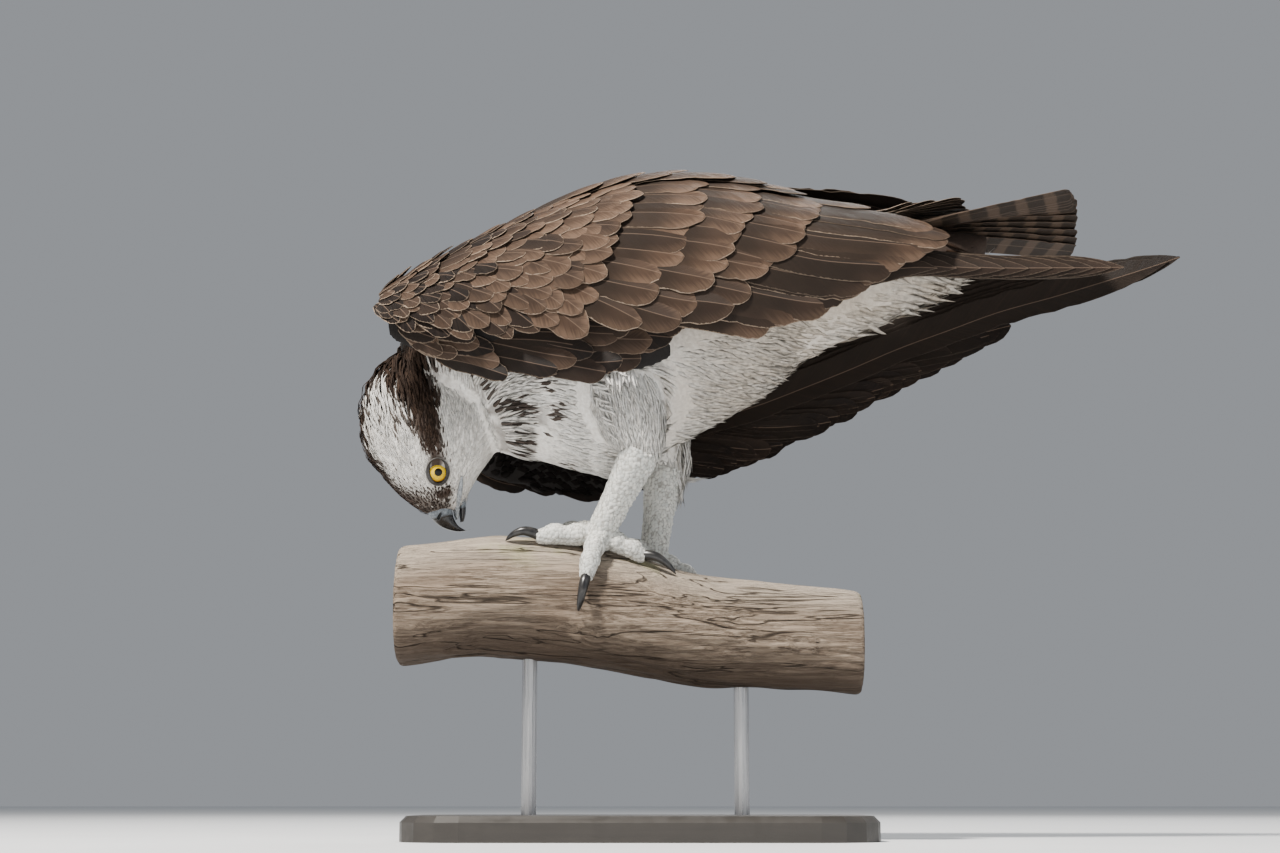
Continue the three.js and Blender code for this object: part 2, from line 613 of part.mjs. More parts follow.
// Nape: pointed locks lifted from the back of the head
function headPoint(a, v) {
  const [crown, throat, half] = HEAD(a);
  const turn = 2 * Math.PI * v;
  return inHead(a, (crown + throat) / 2 + ((crown - throat) / 2) * Math.cos(turn), half * Math.sin(turn));
}
const NAPE_ROWS = [
  { count: 5, a: [-30, -62], arc: 0.22, lift: 6 },
  { count: 4, a: [-48, -82], arc: 0.2, lift: 9 },
];
function nape(grow = 0) {
  return NAPE_ROWS.flatMap(({ count, a: [root, tip], arc, lift }) =>
    Array.from({ length: count }, (_, k) => {
      const v = (k / (count - 1) - 0.5) * 2 * arc;
      const reach = 4 * Math.sin(5 * k + root);
      return vane({
        surface: headPoint, sign: -1, from: [root + grow, v], to: [tip + reach - grow, v * 1.1],
        width: 16 + 2 * grow, lift: lift + grow, sink: 2 - grow, thick: 1 + 2 * grow, shape: LOCK,
      });
    }));
}

// Thigh feathers hang down over the thigh, longest behind
function thighFeathers(leg) {
  const surface = (down, v) => {
    const [x, z, long, half] = THIGH(down / 66);
    const turn = 2 * Math.PI * v;
    return V(x + leg.shift + long * Math.cos(turn), leg.sign * THIGH_Y + half * Math.sin(turn), z + leg.lift);
  };
  return [[18, 46, 0.5, 20], [36, 59, 0, 20]].flatMap(([root, tip, off, width]) =>
    Array.from({ length: 4 }, (_, k) => {
      const v = (k + off) / 4;
      return vane({
        surface, sign: 1, from: [root, v], to: [tip + 3 * Math.cos(2 * Math.PI * v) + chance(-2, 2), v],
        width, lift: 2.6, sink: 1.6, thick: 0.9, shape: LOCK,
      });
    }));
}

const eyeHole = (side) => ball(eyeAt(side), EYE.radius + GAP);
const headSolid = join([head(), lid(-1), lid(1), ...nape()])
  .subtract(join([eyeHole(-1), eyeHole(1), bill(BILL_UPPER, GAP), bill(BILL_LOWER, GAP)]));
add("head", headSolid, WHITE);
add("eye_left", ball(eyeAt(-1), EYE.radius), IRIS);
add("eye_right", ball(eyeAt(1), EYE.radius), IRIS);
add("bill_upper", bill(BILL_UPPER), HORN);
add("bill_lower", bill(BILL_LOWER).subtract(bill(BILL_UPPER, GAP)), HORN);

// Torso, neck and thighs give way to what lies against them
const cores = Object.values(WINGS).flatMap((wing) =>
  [ARM, HAND].map((part) => wingCore(wing, part, WING_GAP)));
const around = join([head(GAP), ...nape(GAP), ...cores]);
const trunk = torso(TORSO_END[0], TAIL_FROM);
const trunkGrown = torso(TORSO_END[0], TAIL_FROM, GAP);
add("torso", trunk.subtract(around), WHITE);
add("neck", neck().subtract(join([trunkGrown, around])), WHITE);
for (const [side, leg] of Object.entries(LEGS)) {
  const besideThigh = join([trunkGrown, ...cores]);
  add(`thigh_${side}`, join([thigh(leg), ...thighFeathers(leg)]).subtract(besideThigh), WHITE);
}
for (const [side, wing] of Object.entries(WINGS)) {
  const arm = wingCore(wing, ARM);
  const hand = wingCore(wing, HAND).subtract(wingCore(wing, ARM, WING_GAP));
  const outside = wasm.Manifold.cube([700, 300, 500]).translate([-300, wing.sign > 0 ? 0.4 : -300.4, 100]);
  const clear = (vanes, core) => join(vanes).subtract(trunkGrown.subtract(core)).intersect(outside);
  const armRows = [...ARM_ROWS, ...HANGING_ROWS[side]];
  const armVanes = clear(feathers((x, t) => wingPoint(wing, x, t), wing.sign, armRows), arm);
  const handCoverts = feathers(handSurface(wing, HAND_DROP), wing.sign, HAND_ROWS);
  const handVanes = clear([...handCoverts, ...primaries(side, wing)], hand)
    .subtract(wingCore(wing, ARM, WING_GAP));
  add(`wing_${side}_arm`, join([arm, armVanes]).simplify(SLIVER), BROWN);
  add(`wing_${side}_hand`, join([hand, handVanes]).simplify(SLIVER), BROWN);
}
add("tail", join([torso(TAIL_FROM + GAP, TORSO_END[1]), ...tailFeathers()]).simplify(SLIVER), DARK);

export default group;
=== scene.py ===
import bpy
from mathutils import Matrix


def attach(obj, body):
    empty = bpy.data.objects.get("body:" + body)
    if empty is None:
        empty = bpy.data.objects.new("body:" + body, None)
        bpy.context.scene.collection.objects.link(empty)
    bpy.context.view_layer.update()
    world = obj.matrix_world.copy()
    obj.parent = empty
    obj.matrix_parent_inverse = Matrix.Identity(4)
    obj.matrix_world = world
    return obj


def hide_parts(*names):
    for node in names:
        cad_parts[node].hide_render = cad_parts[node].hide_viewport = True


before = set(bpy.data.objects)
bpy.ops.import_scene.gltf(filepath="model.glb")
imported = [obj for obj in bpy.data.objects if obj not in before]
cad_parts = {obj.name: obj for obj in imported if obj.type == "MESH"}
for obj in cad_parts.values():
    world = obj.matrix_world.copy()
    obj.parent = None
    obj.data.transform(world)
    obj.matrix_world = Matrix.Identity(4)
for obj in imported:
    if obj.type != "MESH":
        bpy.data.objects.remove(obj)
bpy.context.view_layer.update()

import math
from collections import namedtuple

import bpy
import numpy as np
from mathutils import Vector

# The display: a plain pale floor under soft studio lamps, seen from low on the bird's left side.
# Nothing here belongs to the model itself.
mm = 0.001
camera_at = (0.0, -1.400, 0.025)
camera_looks_at = (0.0, 0.0, 0.271)
camera_lens = 59.96
lamps = [
    # place, size, watts, colour
    ((-0.95, -1.15, 2.15), 0.35, 165, (1.0, 0.95, 0.88)),
    ((1.5, -1.2, 0.9), 1.6, 6, (0.9, 0.95, 1.0)),
    ((0.5, 1.6, 1.6), 1.2, 24, (1.0, 0.98, 0.95)),
]
camera = bpy.data.objects.new("camera", bpy.data.cameras.new("camera"))
camera.location = camera_at
camera.rotation_euler = (Vector(camera_looks_at) - Vector(camera_at)).to_track_quat("-Z", "Y").to_euler()
camera.data.lens = camera_lens
bpy.context.scene.collection.objects.link(camera)
bpy.context.scene.camera = camera
for number, (place, size, watts, colour) in enumerate(lamps):
    lamp = bpy.data.lights.new(f"lamp_{number}", "AREA")
    lamp.shape = "DISK"
    lamp.size = size
    lamp.energy = watts
    lamp.color = colour
    holder = bpy.data.objects.new(f"lamp_{number}", lamp)
    holder.location = place
    holder.rotation_euler = (Vector((0, 0, 0.3)) - Vector(place)).to_track_quat("-Z", "Y").to_euler()
    bpy.context.scene.collection.objects.link(holder)
world = bpy.data.worlds.new("room")
bpy.context.scene.world = world
world.use_nodes = True
world.node_tree.nodes["Background"].inputs["Color"].default_value = (0.80, 0.84, 0.90, 1)
world.node_tree.nodes["Background"].inputs["Strength"].default_value = 0.38


class Finish:
    """A material built up from plain steps; every step gives back a socket to go on from."""

    def __init__(self, name, roughness=0.6, **sockets):
        self.material = bpy.data.materials.new(name)
        self.material.use_nodes = True
        self.tree = self.material.node_tree
        self.shader = self.tree.nodes["Principled BSDF"]
        self.shader.inputs["Roughness"].default_value = roughness
        for socket, value in sockets.items():
            self.shader.inputs[socket.replace("_", " ")].default_value = value

    def node(self, kind, inputs=(), **values):
        """A node of that kind, with its first inputs fed."""
        made = self.tree.nodes.new(kind)
        for key, value in values.items():
            setattr(made, key, value)
        for socket, value in zip(made.inputs, inputs):
            self.feed(socket, value)
        return made

    def feed(self, socket, value):
        if isinstance(value, bpy.types.NodeSocket):
            self.tree.links.new(value, socket)
        elif isinstance(value, tuple) and len(value) == 3 and socket.type == "RGBA":
            socket.default_value = (*value, 1)
        else:
            socket.default_value = value

    def place(self, scale=(1, 1, 1)):
        """Where a point is on the object, stretched by a scale."""
        where = self.node("ShaderNodeTexCoord").outputs["Object"]
        return self.node("ShaderNodeMapping", (where, (0, 0, 0), (0, 0, 0), scale)).outputs[0]

    def noise(self, scale, detail=4, vector=None, rough=0.5, distortion=0.0):
        made = self.node("ShaderNodeTexNoise", (vector or self.place(),))
        made.inputs["Scale"].default_value = scale
        made.inputs["Detail"].default_value = detail
        made.inputs["Roughness"].default_value = rough
        made.inputs["Distortion"].default_value = distortion
        return made.outputs["Fac"]

    def attribute(self, name):
        return self.node("ShaderNodeAttribute", attribute_name=name).outputs["Vector"]

    def numbers(self, name):
        """The three numbers that a piece keeps for each point under that name."""
        return self.node("ShaderNodeSeparateXYZ", (self.attribute(name),)).outputs

    def joined(self, *numbers):
        return self.node("ShaderNodeCombineXYZ", numbers).outputs[0]

    def math(self, operation, *values, clamp=False):
        return self.node("ShaderNodeMath", values, operation=operation, use_clamp=clamp).outputs[0]

    def plus(self, a, b):
        return self.math("ADD", a, b)

    def minus(self, a, b):
        return self.math("SUBTRACT", a, b)

    def times(self, a, b):
        return self.math("MULTIPLY", a, b)

    def unsigned(self, a):
        return self.math("ABSOLUTE", a)

    def wave(self, a, pace):
        return self.math("SINE", self.times(a, pace))

    def between(self, value, low, high, start=0.0, end=1.0):
        """Passes smoothly from start to end while the value goes from low to high."""
        numbers = (value, low, high, start, end)
        return self.node("ShaderNodeMapRange", numbers, interpolation_type="SMOOTHSTEP").outputs[0]

    def blend(self, share, first, second, way="MIX"):
        made = self.node("ShaderNodeMix", (share,), data_type="RGBA", blend_type=way)
        self.feed(made.inputs[6], first)
        self.feed(made.inputs[7], second)
        return made.outputs[2]

    def mottle(self, value, first, second, low=0.3, high=0.7):
        """Two colours that pass into each other while the value goes from low to high."""
        return self.blend(self.between(value, low, high), first, second)

    def colour(self, value):
        self.tone = value
        self.feed(self.shader.inputs["Base Color"], value)

    def tint(self, share, over):
        """Lays another colour over the one so far, by that share."""
        self.colour(self.blend(share, self.tone, over))

    def rough(self, value):
        self.feed(self.shader.inputs["Roughness"], value)

    def bump(self, height, distance, strength):
        made = self.node("ShaderNodeBump")
        made.inputs["Strength"].default_value = strength
        made.inputs["Distance"].default_value = distance
        self.feed(made.inputs["Height"], height)
        normal = self.shader.inputs["Normal"]
        if normal.is_linked:
            self.feed(made.inputs["Normal"], normal.links[0].from_socket)
        self.feed(normal, made.outputs[0])


def piece(name, points, faces, finish, slot=None, stands_for=(), unwrap=None, **kept):
    """A smooth mesh of points in millimetres. With a slot it rides on the model.

    The unwrap gives each point a place on the flat sheet. What else is kept is three numbers for each point.
    """
    mesh = bpy.data.meshes.new(name)
    if isinstance(faces, np.ndarray):
        mesh.vertices.add(len(points))
        mesh.vertices.foreach_set("co", (points * mm).ravel())
        mesh.loops.add(faces.size)
        mesh.loops.foreach_set("vertex_index", faces.ravel())
        mesh.polygons.add(len(faces))
        mesh.polygons.foreach_set("loop_start", np.arange(0, faces.size, faces.shape[1]))
        mesh.update(calc_edges=True)
    else:
        mesh.from_pydata((np.asarray(points) * mm).tolist(), [], [tuple(map(int, face)) for face in faces])
        mesh.validate()
    mesh.shade_smooth()
    mesh.materials.append(finish.material)
    for key, values in kept.items():
        numbers = mesh.attributes.new(key, "FLOAT_VECTOR", "POINT")
        numbers.data.foreach_set("vector", np.asarray(values, float).ravel())
    if unwrap is not None:
        layer = mesh.uv_layers.new(name="OFBake")
        corner_points = np.empty(len(mesh.loops), dtype=np.int64)
        mesh.loops.foreach_get("vertex_index", corner_points)
        layer.data.foreach_set("uv", unwrap[corner_points].ravel())
    made = bpy.data.objects.new(name, mesh)
    bpy.context.scene.collection.objects.link(made)
    if slot:
        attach(made, "root")
    if stands_for:
        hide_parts(*stands_for)
    return made


pale_floor = Finish("pale_floor", roughness=0.9)
pale_floor.colour(pale_floor.blend(pale_floor.noise(6, 3), (0.70, 0.72, 0.74), (0.78, 0.79, 0.80)))
pale_floor.bump(pale_floor.noise(300, 2), 0.0004, 0.2)
floor_reach = 9000
floor_corners = [(x * floor_reach, y * floor_reach, 0) for x, y in ((-1, -1), (1, -1), (1, 1), (-1, 1))]
floor = piece("floor", floor_corners, [(0, 1, 2, 3)], pale_floor)

# The stand's base: a wooden plate, sanded and given a dark satin paint, its top edge chamfered.
# It lies flat on the floor and takes the feet of the two rods.
base_paint = Finish("base_paint", roughness=0.42)
grain = base_paint.noise(26, 6, base_paint.place((0.25, 4.0, 4.0)), distortion=0.6)
base_paint.colour(base_paint.blend(grain, (0.022, 0.020, 0.018), (0.050, 0.044, 0.038)))
base_paint.rough(base_paint.between(base_paint.noise(90, 4), 0.3, 0.7, 0.36, 0.55))
base_paint.bump(grain, 0.0006, 0.35)
base_paint.bump(base_paint.noise(900, 2), 0.0001, 0.4)


def refinish(name, finish):
    """Gives one of the frame's own nodes its finish."""
    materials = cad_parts[name].data.materials
    materials.clear()
    materials.append(finish.material)


refinish("stand_base", base_paint)

# The two rods: drawn steel, brushed along their length and pressed into the plate and the branch.
rod_steel = Finish("rod_steel", roughness=0.3, Metallic=1.0)
brushing = rod_steel.noise(160, 5, rod_steel.place((6, 6, 0.12)))
rod_steel.colour(rod_steel.blend(brushing, (0.42, 0.42, 0.43), (0.62, 0.62, 0.63)))
rod_steel.rough(rod_steel.between(brushing, 0.3, 0.7, 0.24, 0.42))
rod_steel.bump(brushing, 0.0001, 0.4)
for name in ("stand_rod_1", "stand_rod_2"):
    refinish(name, rod_steel)

# The perch: a short cut length of dead branch, long weathered to grey-brown, with grooves along the grain,
# cracks and old knots. Both ends are sawn square, and the rods enter it from below.
perch_rows = [
    # along, height of the middle, radius
    (-158, 150, 40), (-105, 158, 39), (-53, 154, 40), (-13, 147, 40.5), (39, 135, 37), (79, 132, 34.5),
    (144, 127, 34),
]
perch_ends = (-158, 144)
perch_steps, perch_sides = 300, 220
knots = [
    # along, round from the crest towards the far side, size, height
    (-31, -2.1, 8, 2.6), (104, -1.75, 9, 3.0), (-118, -2.6, 11, 3.4), (62, 1.9, 9, 3.0), (-70, 2.5, 8, 2.4),
]


def through(rows):
    """A smooth curve through rows of place and values, held at its ends. It gives the values one by one."""
    rows = np.array(rows, float)
    places, values = rows[:, 0], rows[:, 1:]
    last = len(rows) - 1

    def at(x):
        x = np.asarray(x, float)
        i = np.clip(np.searchsorted(places, x, side="left") - 1, 0, last - 1)
        before, after = np.maximum(i - 1, 0), np.minimum(i + 2, last)
        span = places[i + 1] - places[i]
        s = np.clip((x - places[i]) / span, 0, 1)[..., None]
        p, q = values[i], values[i + 1]
        slope_in = (q - values[before]) / (places[i + 1] - places[before])[..., None] * span[..., None]
        slope_out = (values[after] - p) / (places[after] - places[i])[..., None] * span[..., None]
        drawn = (p * (2 * s**3 - 3 * s**2 + 1) + slope_in * (s**3 - 2 * s**2 + s)
                 + q * (3 * s**2 - 2 * s**3) + slope_out * (s**3 - s**2))
        return np.moveaxis(drawn, -1, 0)

    return at


def cell_number(cell, seed):
    """A whole number of its own for each cell of space."""
    return cell[..., 0] * 73856093 ^ cell[..., 1] * 19349663 ^ cell[..., 2] * 83492791 ^ seed * 2654435


def stirred(number):
    """The number mixed once more, and a value from 0 to 65535 drawn from it."""
    number = (number ^ (number >> 13)) * 1274126177 & 0xFFFFFFFF
    return number, (number ^ (number >> 16)) & 0xFFFF


def rough_at(points, size, seed=0):
    """Smooth uneven values from -1 to 1 over points, with lumps of about that size in millimetres."""
    scaled = np.asarray(points, float) / size
    cell = np.floor(scaled).astype(np.int64)
    inside = scaled - cell
    inside = inside * inside * (3 - 2 * inside)
    total = np.zeros(scaled.shape[:-1])
    for corner in np.ndindex(2, 2, 2):
        value = stirred(cell_number(cell + np.array(corner), seed))[1] / 32767.5 - 1
        weight = np.prod(np.where(np.array(corner) == 1, inside, 1 - inside), axis=-1)
        total += value * weight
    return total


def numbered_grid(rows, columns, first=0):
    return first + np.arange(rows * columns).reshape(rows, columns)


def grid_faces(index):
    """Four-sided faces between neighbours in a grid of point numbers."""
    return np.stack([index[:-1, :-1], index[:-1, 1:], index[1:, 1:], index[1:, :-1]], -1).reshape(-1, 4)


def ring_faces(index):
    """The same where every row of the grid is a closed ring."""
    return grid_faces(np.column_stack([index, index[:, 0]]))


def bark_round(x, turn, radius):
    """The branch isn't quite round: its radius at a place along and a turn from the crest."""
    return radius * (1 + 0.018 * np.sin(3 * turn + x / 31) + 0.012 * np.sin(5 * turn - x / 23))


perch_curve = through(perch_rows)
along = np.linspace(*perch_ends, perch_steps)[:, None] * np.ones((1, perch_sides))
turn = np.linspace(-math.pi, math.pi, perch_sides, endpoint=False)[None, :] * np.ones((perch_steps, 1))
middle, radius = perch_curve(along)
bark = bark_round(along, turn, radius)
drift = 0.10 * rough_at(np.stack([along, turn * 20, turn * 0], -1), 60, 1)
round_at = np.stack([along / 9, np.sin(turn + drift) * radius, np.cos(turn + drift) * radius], -1)
groove = np.abs(rough_at(round_at, 5.2, 2)) ** 0.7 * 1.5 + rough_at(round_at, 2.1, 3) * 0.42
wide = rough_at(np.stack([along, np.sin(turn) * radius, np.cos(turn) * radius], -1), 42, 4)
bark = bark + groove - 1.1 + wide * 1.3
for place, where, size, height in knots:
    gap = np.angle(np.exp(1j * (turn - where))) * radius
    away = np.hypot((along - place) * 0.8, gap) / size
    bark += (height * np.exp(-away**2) - 0.62 * height * np.exp(-((away * 2.3) ** 2))
             + 0.5 * np.cos(away * 9) * np.exp(-away))
end_wear = np.minimum(along - perch_ends[0], perch_ends[1] - along)
bark -= 1.6 * np.exp(-end_wear / 1.4)
bark_points = np.stack([along, bark * np.sin(turn), middle + bark * np.cos(turn)], -1)
perch_index = numbered_grid(perch_steps, perch_sides)
points = [bark_points.reshape(-1, 3)]
faces = [ring_faces(perch_index)]
for end in (0, -1):
    core = bark_points[end].mean(axis=0)
    shares = np.linspace(1, 0.04, 12)[1:]
    inner = core + (bark_points[end][None] - core) * shares[:, None, None]
    sag = 0.5 * rough_at(inner * [0, 1, 1], 9, 5) - 0.3
    inner[..., 0] += sag * (1 if end else -1)
    first = sum(len(block) for block in points)
    inner_index = numbered_grid(len(shares), perch_sides, first)
    cap = ring_faces(np.vstack([perch_index[end], inner_index]))
    hub = first + inner_index.size
    fan = np.stack([inner_index[-1], np.roll(inner_index[-1], -1), np.full(perch_sides, hub)], -1)
    points += [inner.reshape(-1, 3), core[None]]
    faces += [cap, fan] if end else [cap[:, ::-1], fan[:, ::-1]]
bark_wood = Finish("weathered_wood", roughness=0.85, Specular_IOR_Level=0.15)
height_on_bark = bark_wood.numbers("lie")["X"]
fibre = bark_wood.noise(6, 8, bark_wood.place((2.2, 55, 55)), 0.62, 1.2)
fine_fibre = bark_wood.noise(24, 6, bark_wood.place((3.0, 60, 60)), 0.6, 0.8)
long_lines = bark_wood.noise(3.0, 3, bark_wood.place((1.1, 20, 20)), 0.5, 0.5)
patches = bark_wood.noise(13, 4)
uneven_height = bark_wood.plus(height_on_bark, bark_wood.times(patches, 0.5))
on_top = bark_wood.between(uneven_height, 0.5, 1.15)
mossy = bark_wood.times(bark_wood.between(bark_wood.noise(20, 3), 0.55, 0.68, 0, 0.5), on_top)
crack_line = bark_wood.between(bark_wood.unsigned(bark_wood.minus(long_lines, 0.5)), 0.0, 0.011, 1, 0)
hair_line = bark_wood.between(bark_wood.unsigned(bark_wood.minus(fibre, 0.5)), 0.0, 0.02, 1, 0)
bark_wood.colour(bark_wood.mottle(fibre, (0.055, 0.038, 0.027), (0.33, 0.255, 0.190)))
bark_wood.tint(bark_wood.between(fine_fibre, 0.40, 0.72, 0, 0.55), (0.46, 0.38, 0.30))
bark_wood.tint(bark_wood.between(patches, 0.45, 0.72, 0, 0.55), (0.15, 0.105, 0.075))
# Paler towards the top and much darker on the underside: the dark underside is painted shade.
bark_wood.tint(bark_wood.times(on_top, 0.4), (0.58, 0.51, 0.42))
bark_wood.tint(bark_wood.between(uneven_height, -0.7, 0.15, 0.88, 0), (0.050, 0.035, 0.026))
bark_wood.tint(mossy, (0.30, 0.33, 0.13))
bark_wood.tint(bark_wood.times(hair_line, 0.55), (0.05, 0.035, 0.025))
bark_wood.tint(bark_wood.times(crack_line, 0.85), (0.020, 0.014, 0.010))
bark_wood.bump(fibre, 0.0026, 0.9)
bark_wood.bump(fine_fibre, 0.0007, 0.7)
bark_wood.bump(bark_wood.times(crack_line, -1.0), 0.0014, 0.9)
perch_points = np.concatenate(points)
middle, radius = perch_curve(perch_points[:, 0])
high_on_bark = (perch_points[:, 2] - middle) / radius
piece("perch", perch_points, [face for block in faces for face in block.tolist()], bark_wood, "branch",
      ["stand_perch"], lie=high_on_bark[:, None] * [1, 0, 0])

# The bird's body: one skin from the head to the root of the tail, with the thighs and the folded arms in it.
# It is bare leather-like skin under the coat and lies inside the feathers' tips by their depth.
torso_rows = [
    # along, top, bottom, half width
    (-126, 356, 300, 18), (-116, 375, 272, 36), (-95, 394, 251, 50), (-70, 409, 245, 57), (-40, 421, 237, 60),
    (-12, 430, 233, 60), (15, 434, 250, 58), (45, 433, 266, 53), (75, 428, 284, 46), (105, 422, 309, 40),
    (135, 418, 325, 34), (165, 414, 339, 29), (190, 411, 352, 25), (215, 408, 369, 21), (238, 405, 389, 14),
]
neck_rows = [
    # share of the neck, along, height, half width, half thickness
    (0, -150, 292, 30, 26), (0.3, -128, 308, 38, 38), (0.65, -106, 316, 46, 50), (1, -84, 322, 50, 56),
]
head_rows = [
    # ahead of the eyes, crown, throat, half width
    (-76, 2, -34, 16), (-68, 20, -46, 26), (-54, 34, -54, 33), (-38, 41, -57, 37), (-20, 41, -54, 36.5),
    (-4, 35, -44, 31), (8, 28.5, -31, 24.5), (18, 21, -22, 18), (25, 14, -17, 12.5), (29, 9, -13, 9),
]
thigh_rows = [
    # share of the thigh, along, height, half length, half width
    (0, -16, 312, 34, 21), (0.35, -13, 286, 33, 24), (0.7, -6, 262, 25, 18), (1, 1, 246, 14.5, 13),
]
thigh_out = 37
thigh_top, thigh_foot = thigh_rows[0][2], thigh_rows[-1][2]
legs = {
    "left": {"sign": -1, "foot": (-26, -17), "shift": 0, "lift": 0, "inner": -0.6},
    "right": {"sign": 1, "foot": (9, 19), "shift": 15, "lift": -4, "inner": -0.2},
}
head_middle = np.array([-137.0, 0, 240])
bow, look = math.radians(104), math.radians(12)


def turned(v):
    """The same direction once the hanging head is turned a little, its crown towards the bird's left."""
    x, y, z = v
    return np.array([x * math.cos(look) - y * math.sin(look), x * math.sin(look) + y * math.cos(look), z])


ahead_way = turned((-math.cos(bow), 0, -math.sin(bow)))
crown_way = turned((-math.sin(bow), 0, math.cos(bow)))
side_way = turned((0, 1, 0))
head_frame = np.stack([ahead_way, crown_way, side_way])


def in_head(a, u, s):
    """From head measures (ahead of the eyes, towards the crown, towards the right) to the model."""
    return head_middle + np.stack(np.broadcast_arrays(a, u, s), -1) @ head_frame


def head_measures(points):
    return (np.asarray(points) - head_middle) @ head_frame.T


torso_curve, neck_curve = through(torso_rows), through(neck_rows)
head_curve, thigh_curve = through(head_rows), through(thigh_rows)


def around(sides):
    return np.linspace(0, 2 * math.pi, sides, endpoint=False)


def torso_rings(depth, sides=64, steps=60):
    x = np.linspace(torso_rows[0][0] + depth, torso_rows[-1][0] - depth, steps)[:, None]
    top, bottom, half = torso_curve(x)
    k = around(sides)[None]
    low = 1 + 0.12 * np.minimum(0, np.cos(k))
    tall = (top - bottom) / 2 - depth
    return np.stack([x + 0 * k, (half - depth) * np.sin(k) * low, (top + bottom) / 2 + tall * np.cos(k)], -1)


def neck_rings(depth, sides=56, steps=24):
    x, z, half, tall = neck_curve(np.linspace(0, 1, steps)[:, None])
    k = around(sides)[None]
    lean = 0.35 * tall * np.cos(k)
    return np.stack([x - lean, (half - depth) * np.sin(k), z + (tall - depth) * np.cos(k)], -1)


def head_rings(depth, sides=64, steps=48):
    a = np.linspace(head_rows[0][0] + depth, head_rows[-1][0] - depth, steps)[:, None]
    crown, throat, half = head_curve(a)
    k = around(sides)[None]
    return in_head(a + 0 * k, (crown + throat) / 2 + ((crown - throat) / 2 - depth) * np.cos(k),
                   (half - depth) * np.sin(k))


def thigh_rings(leg, depth, sides=40, steps=26):
    x, z, long, half = thigh_curve(np.linspace(0, 1, steps)[:, None])
    k = around(sides)[None]
    return np.stack([x + leg["shift"] + (long - depth) * np.cos(k),
                     leg["sign"] * thigh_out + (half - depth) * np.sin(k), z + leg["lift"] + 0 * k], -1)


# The folded wing lies on a curved sheet: at each place along, an arc from the upper edge to the lower edge.
wing_rows = {
    # along, then out and up for the upper edge, the bulge and the lower edge
    "left": [
        (-172, 54, 350, 64, 346, 66, 332), (-164, 46, 357, 76, 352, 72, 318),
        (-140, 36, 374, 88, 362, 72, 305), (-110, 26, 393, 92, 375, 72, 297),
        (-80, 18, 410, 95, 386, 72, 292), (-50, 12, 424, 97, 395, 72, 290),
        (-15, 8, 436, 97, 404, 71, 292), (15, 6, 441, 95, 408, 70, 299), (45, 6, 440, 90, 406, 68, 312),
        (80, 8, 433, 86, 401, 66, 322), (115, 12, 423, 80, 396, 62, 332), (150, 18, 415, 72, 392, 57, 346),
        (180, 26, 407, 64, 388, 52, 356), (212, 34, 397, 56, 382, 48, 358), (245, 38, 391, 51, 378, 47, 360),
        (280, 40, 388, 48, 376, 46, 363), (318, 42, 386, 46, 375, 45, 363),
    ],
    "right": [
        (-176, 54, 350, 66, 346, 68, 332), (-166, 46, 358, 80, 350, 76, 306),
        (-146, 36, 373, 92, 354, 80, 276), (-110, 26, 393, 100, 363, 84, 248),
        (-80, 18, 410, 102, 373, 86, 241), (-46, 12, 424, 103, 382, 87, 238),
        (-15, 8, 436, 103, 390, 87, 239), (17, 6, 442, 101, 394, 86, 245), (50, 6, 442, 96, 394, 84, 252),
        (80, 8, 437, 92, 391, 80, 258), (115, 12, 436, 88, 388, 76, 271), (150, 18, 434, 82, 386, 71, 286),
        (180, 26, 430, 74, 384, 66, 302), (212, 36, 416, 64, 382, 61, 319), (250, 40, 406, 58, 383, 56, 339),
        (290, 42, 403, 53, 385, 50, 353), (330, 42, 403, 48, 389, 45, 369), (378, 41, 407, 43, 397, 40, 387),
    ],
}
wing_sign = {"left": -1, "right": 1}
wing_curve = {side: through(rows) for side, rows in wing_rows.items()}
hand_drop = 5


def wing_sheet(side, drop=0.0):
    """The wing's curved sheet: a function of place along and share of the arc that gives points."""
    def bare(x, t):
        upper_y, upper_z, bulge_y, bulge_z, lower_y, lower_z = wing_curve[side](x)
        y = (1 - t) ** 2 * upper_y + 2 * t * (1 - t) * bulge_y + t * t * lower_y
        z = (1 - t) ** 2 * upper_z + 2 * t * (1 - t) * bulge_z + t * t * lower_z
        return np.stack([x + 0 * t, wing_sign[side] * y, z], -1)

    def dropped(x, t):
        return bare(x, t) - drop * sheet_normal(bare, x, t, wing_sign[side])

    return dropped if drop else bare


def sheet_normal(sheet, u, v, sign):
    """The way out of the wing at each place of its sheet."""
    down = sheet(u + 0.5, v) - sheet(u - 0.5, v)
    across = sheet(u, v + 0.01) - sheet(u, v - 0.01)
    normal = np.cross(down, across)
    return sign * normal / np.linalg.norm(normal, axis=-1, keepdims=True)


def wing_core(side, start, end, arc, thick, drop, steps=40, across=22):
    """Rings of the flesh inside a folded wing, from start to end along and over a share of the arc."""
    depth = drop + skin_depth["wing"]
    sheet = wing_sheet(side)
    s = np.linspace(0, 1, steps)[:, None]
    x = start + (end - start) * s
    t = np.linspace(*arc, across)[None] + 0 * s
    x = x + 0 * t
    normal = sheet_normal(sheet, x, t, wing_sign[side])
    deep = thick * np.sqrt(np.maximum(0.02, np.sin(math.pi * np.minimum(1, 0.04 + 0.93 * s))))
    edge = 0.25 + 0.75 * np.sin(math.pi * np.linspace(0, 1, across))[None]
    outer = sheet(x, t) - normal * depth
    inner = sheet(x, t) - normal * (depth + deep * edge)[..., None]
    return np.concatenate([outer, inner[:, ::-1]], axis=1)


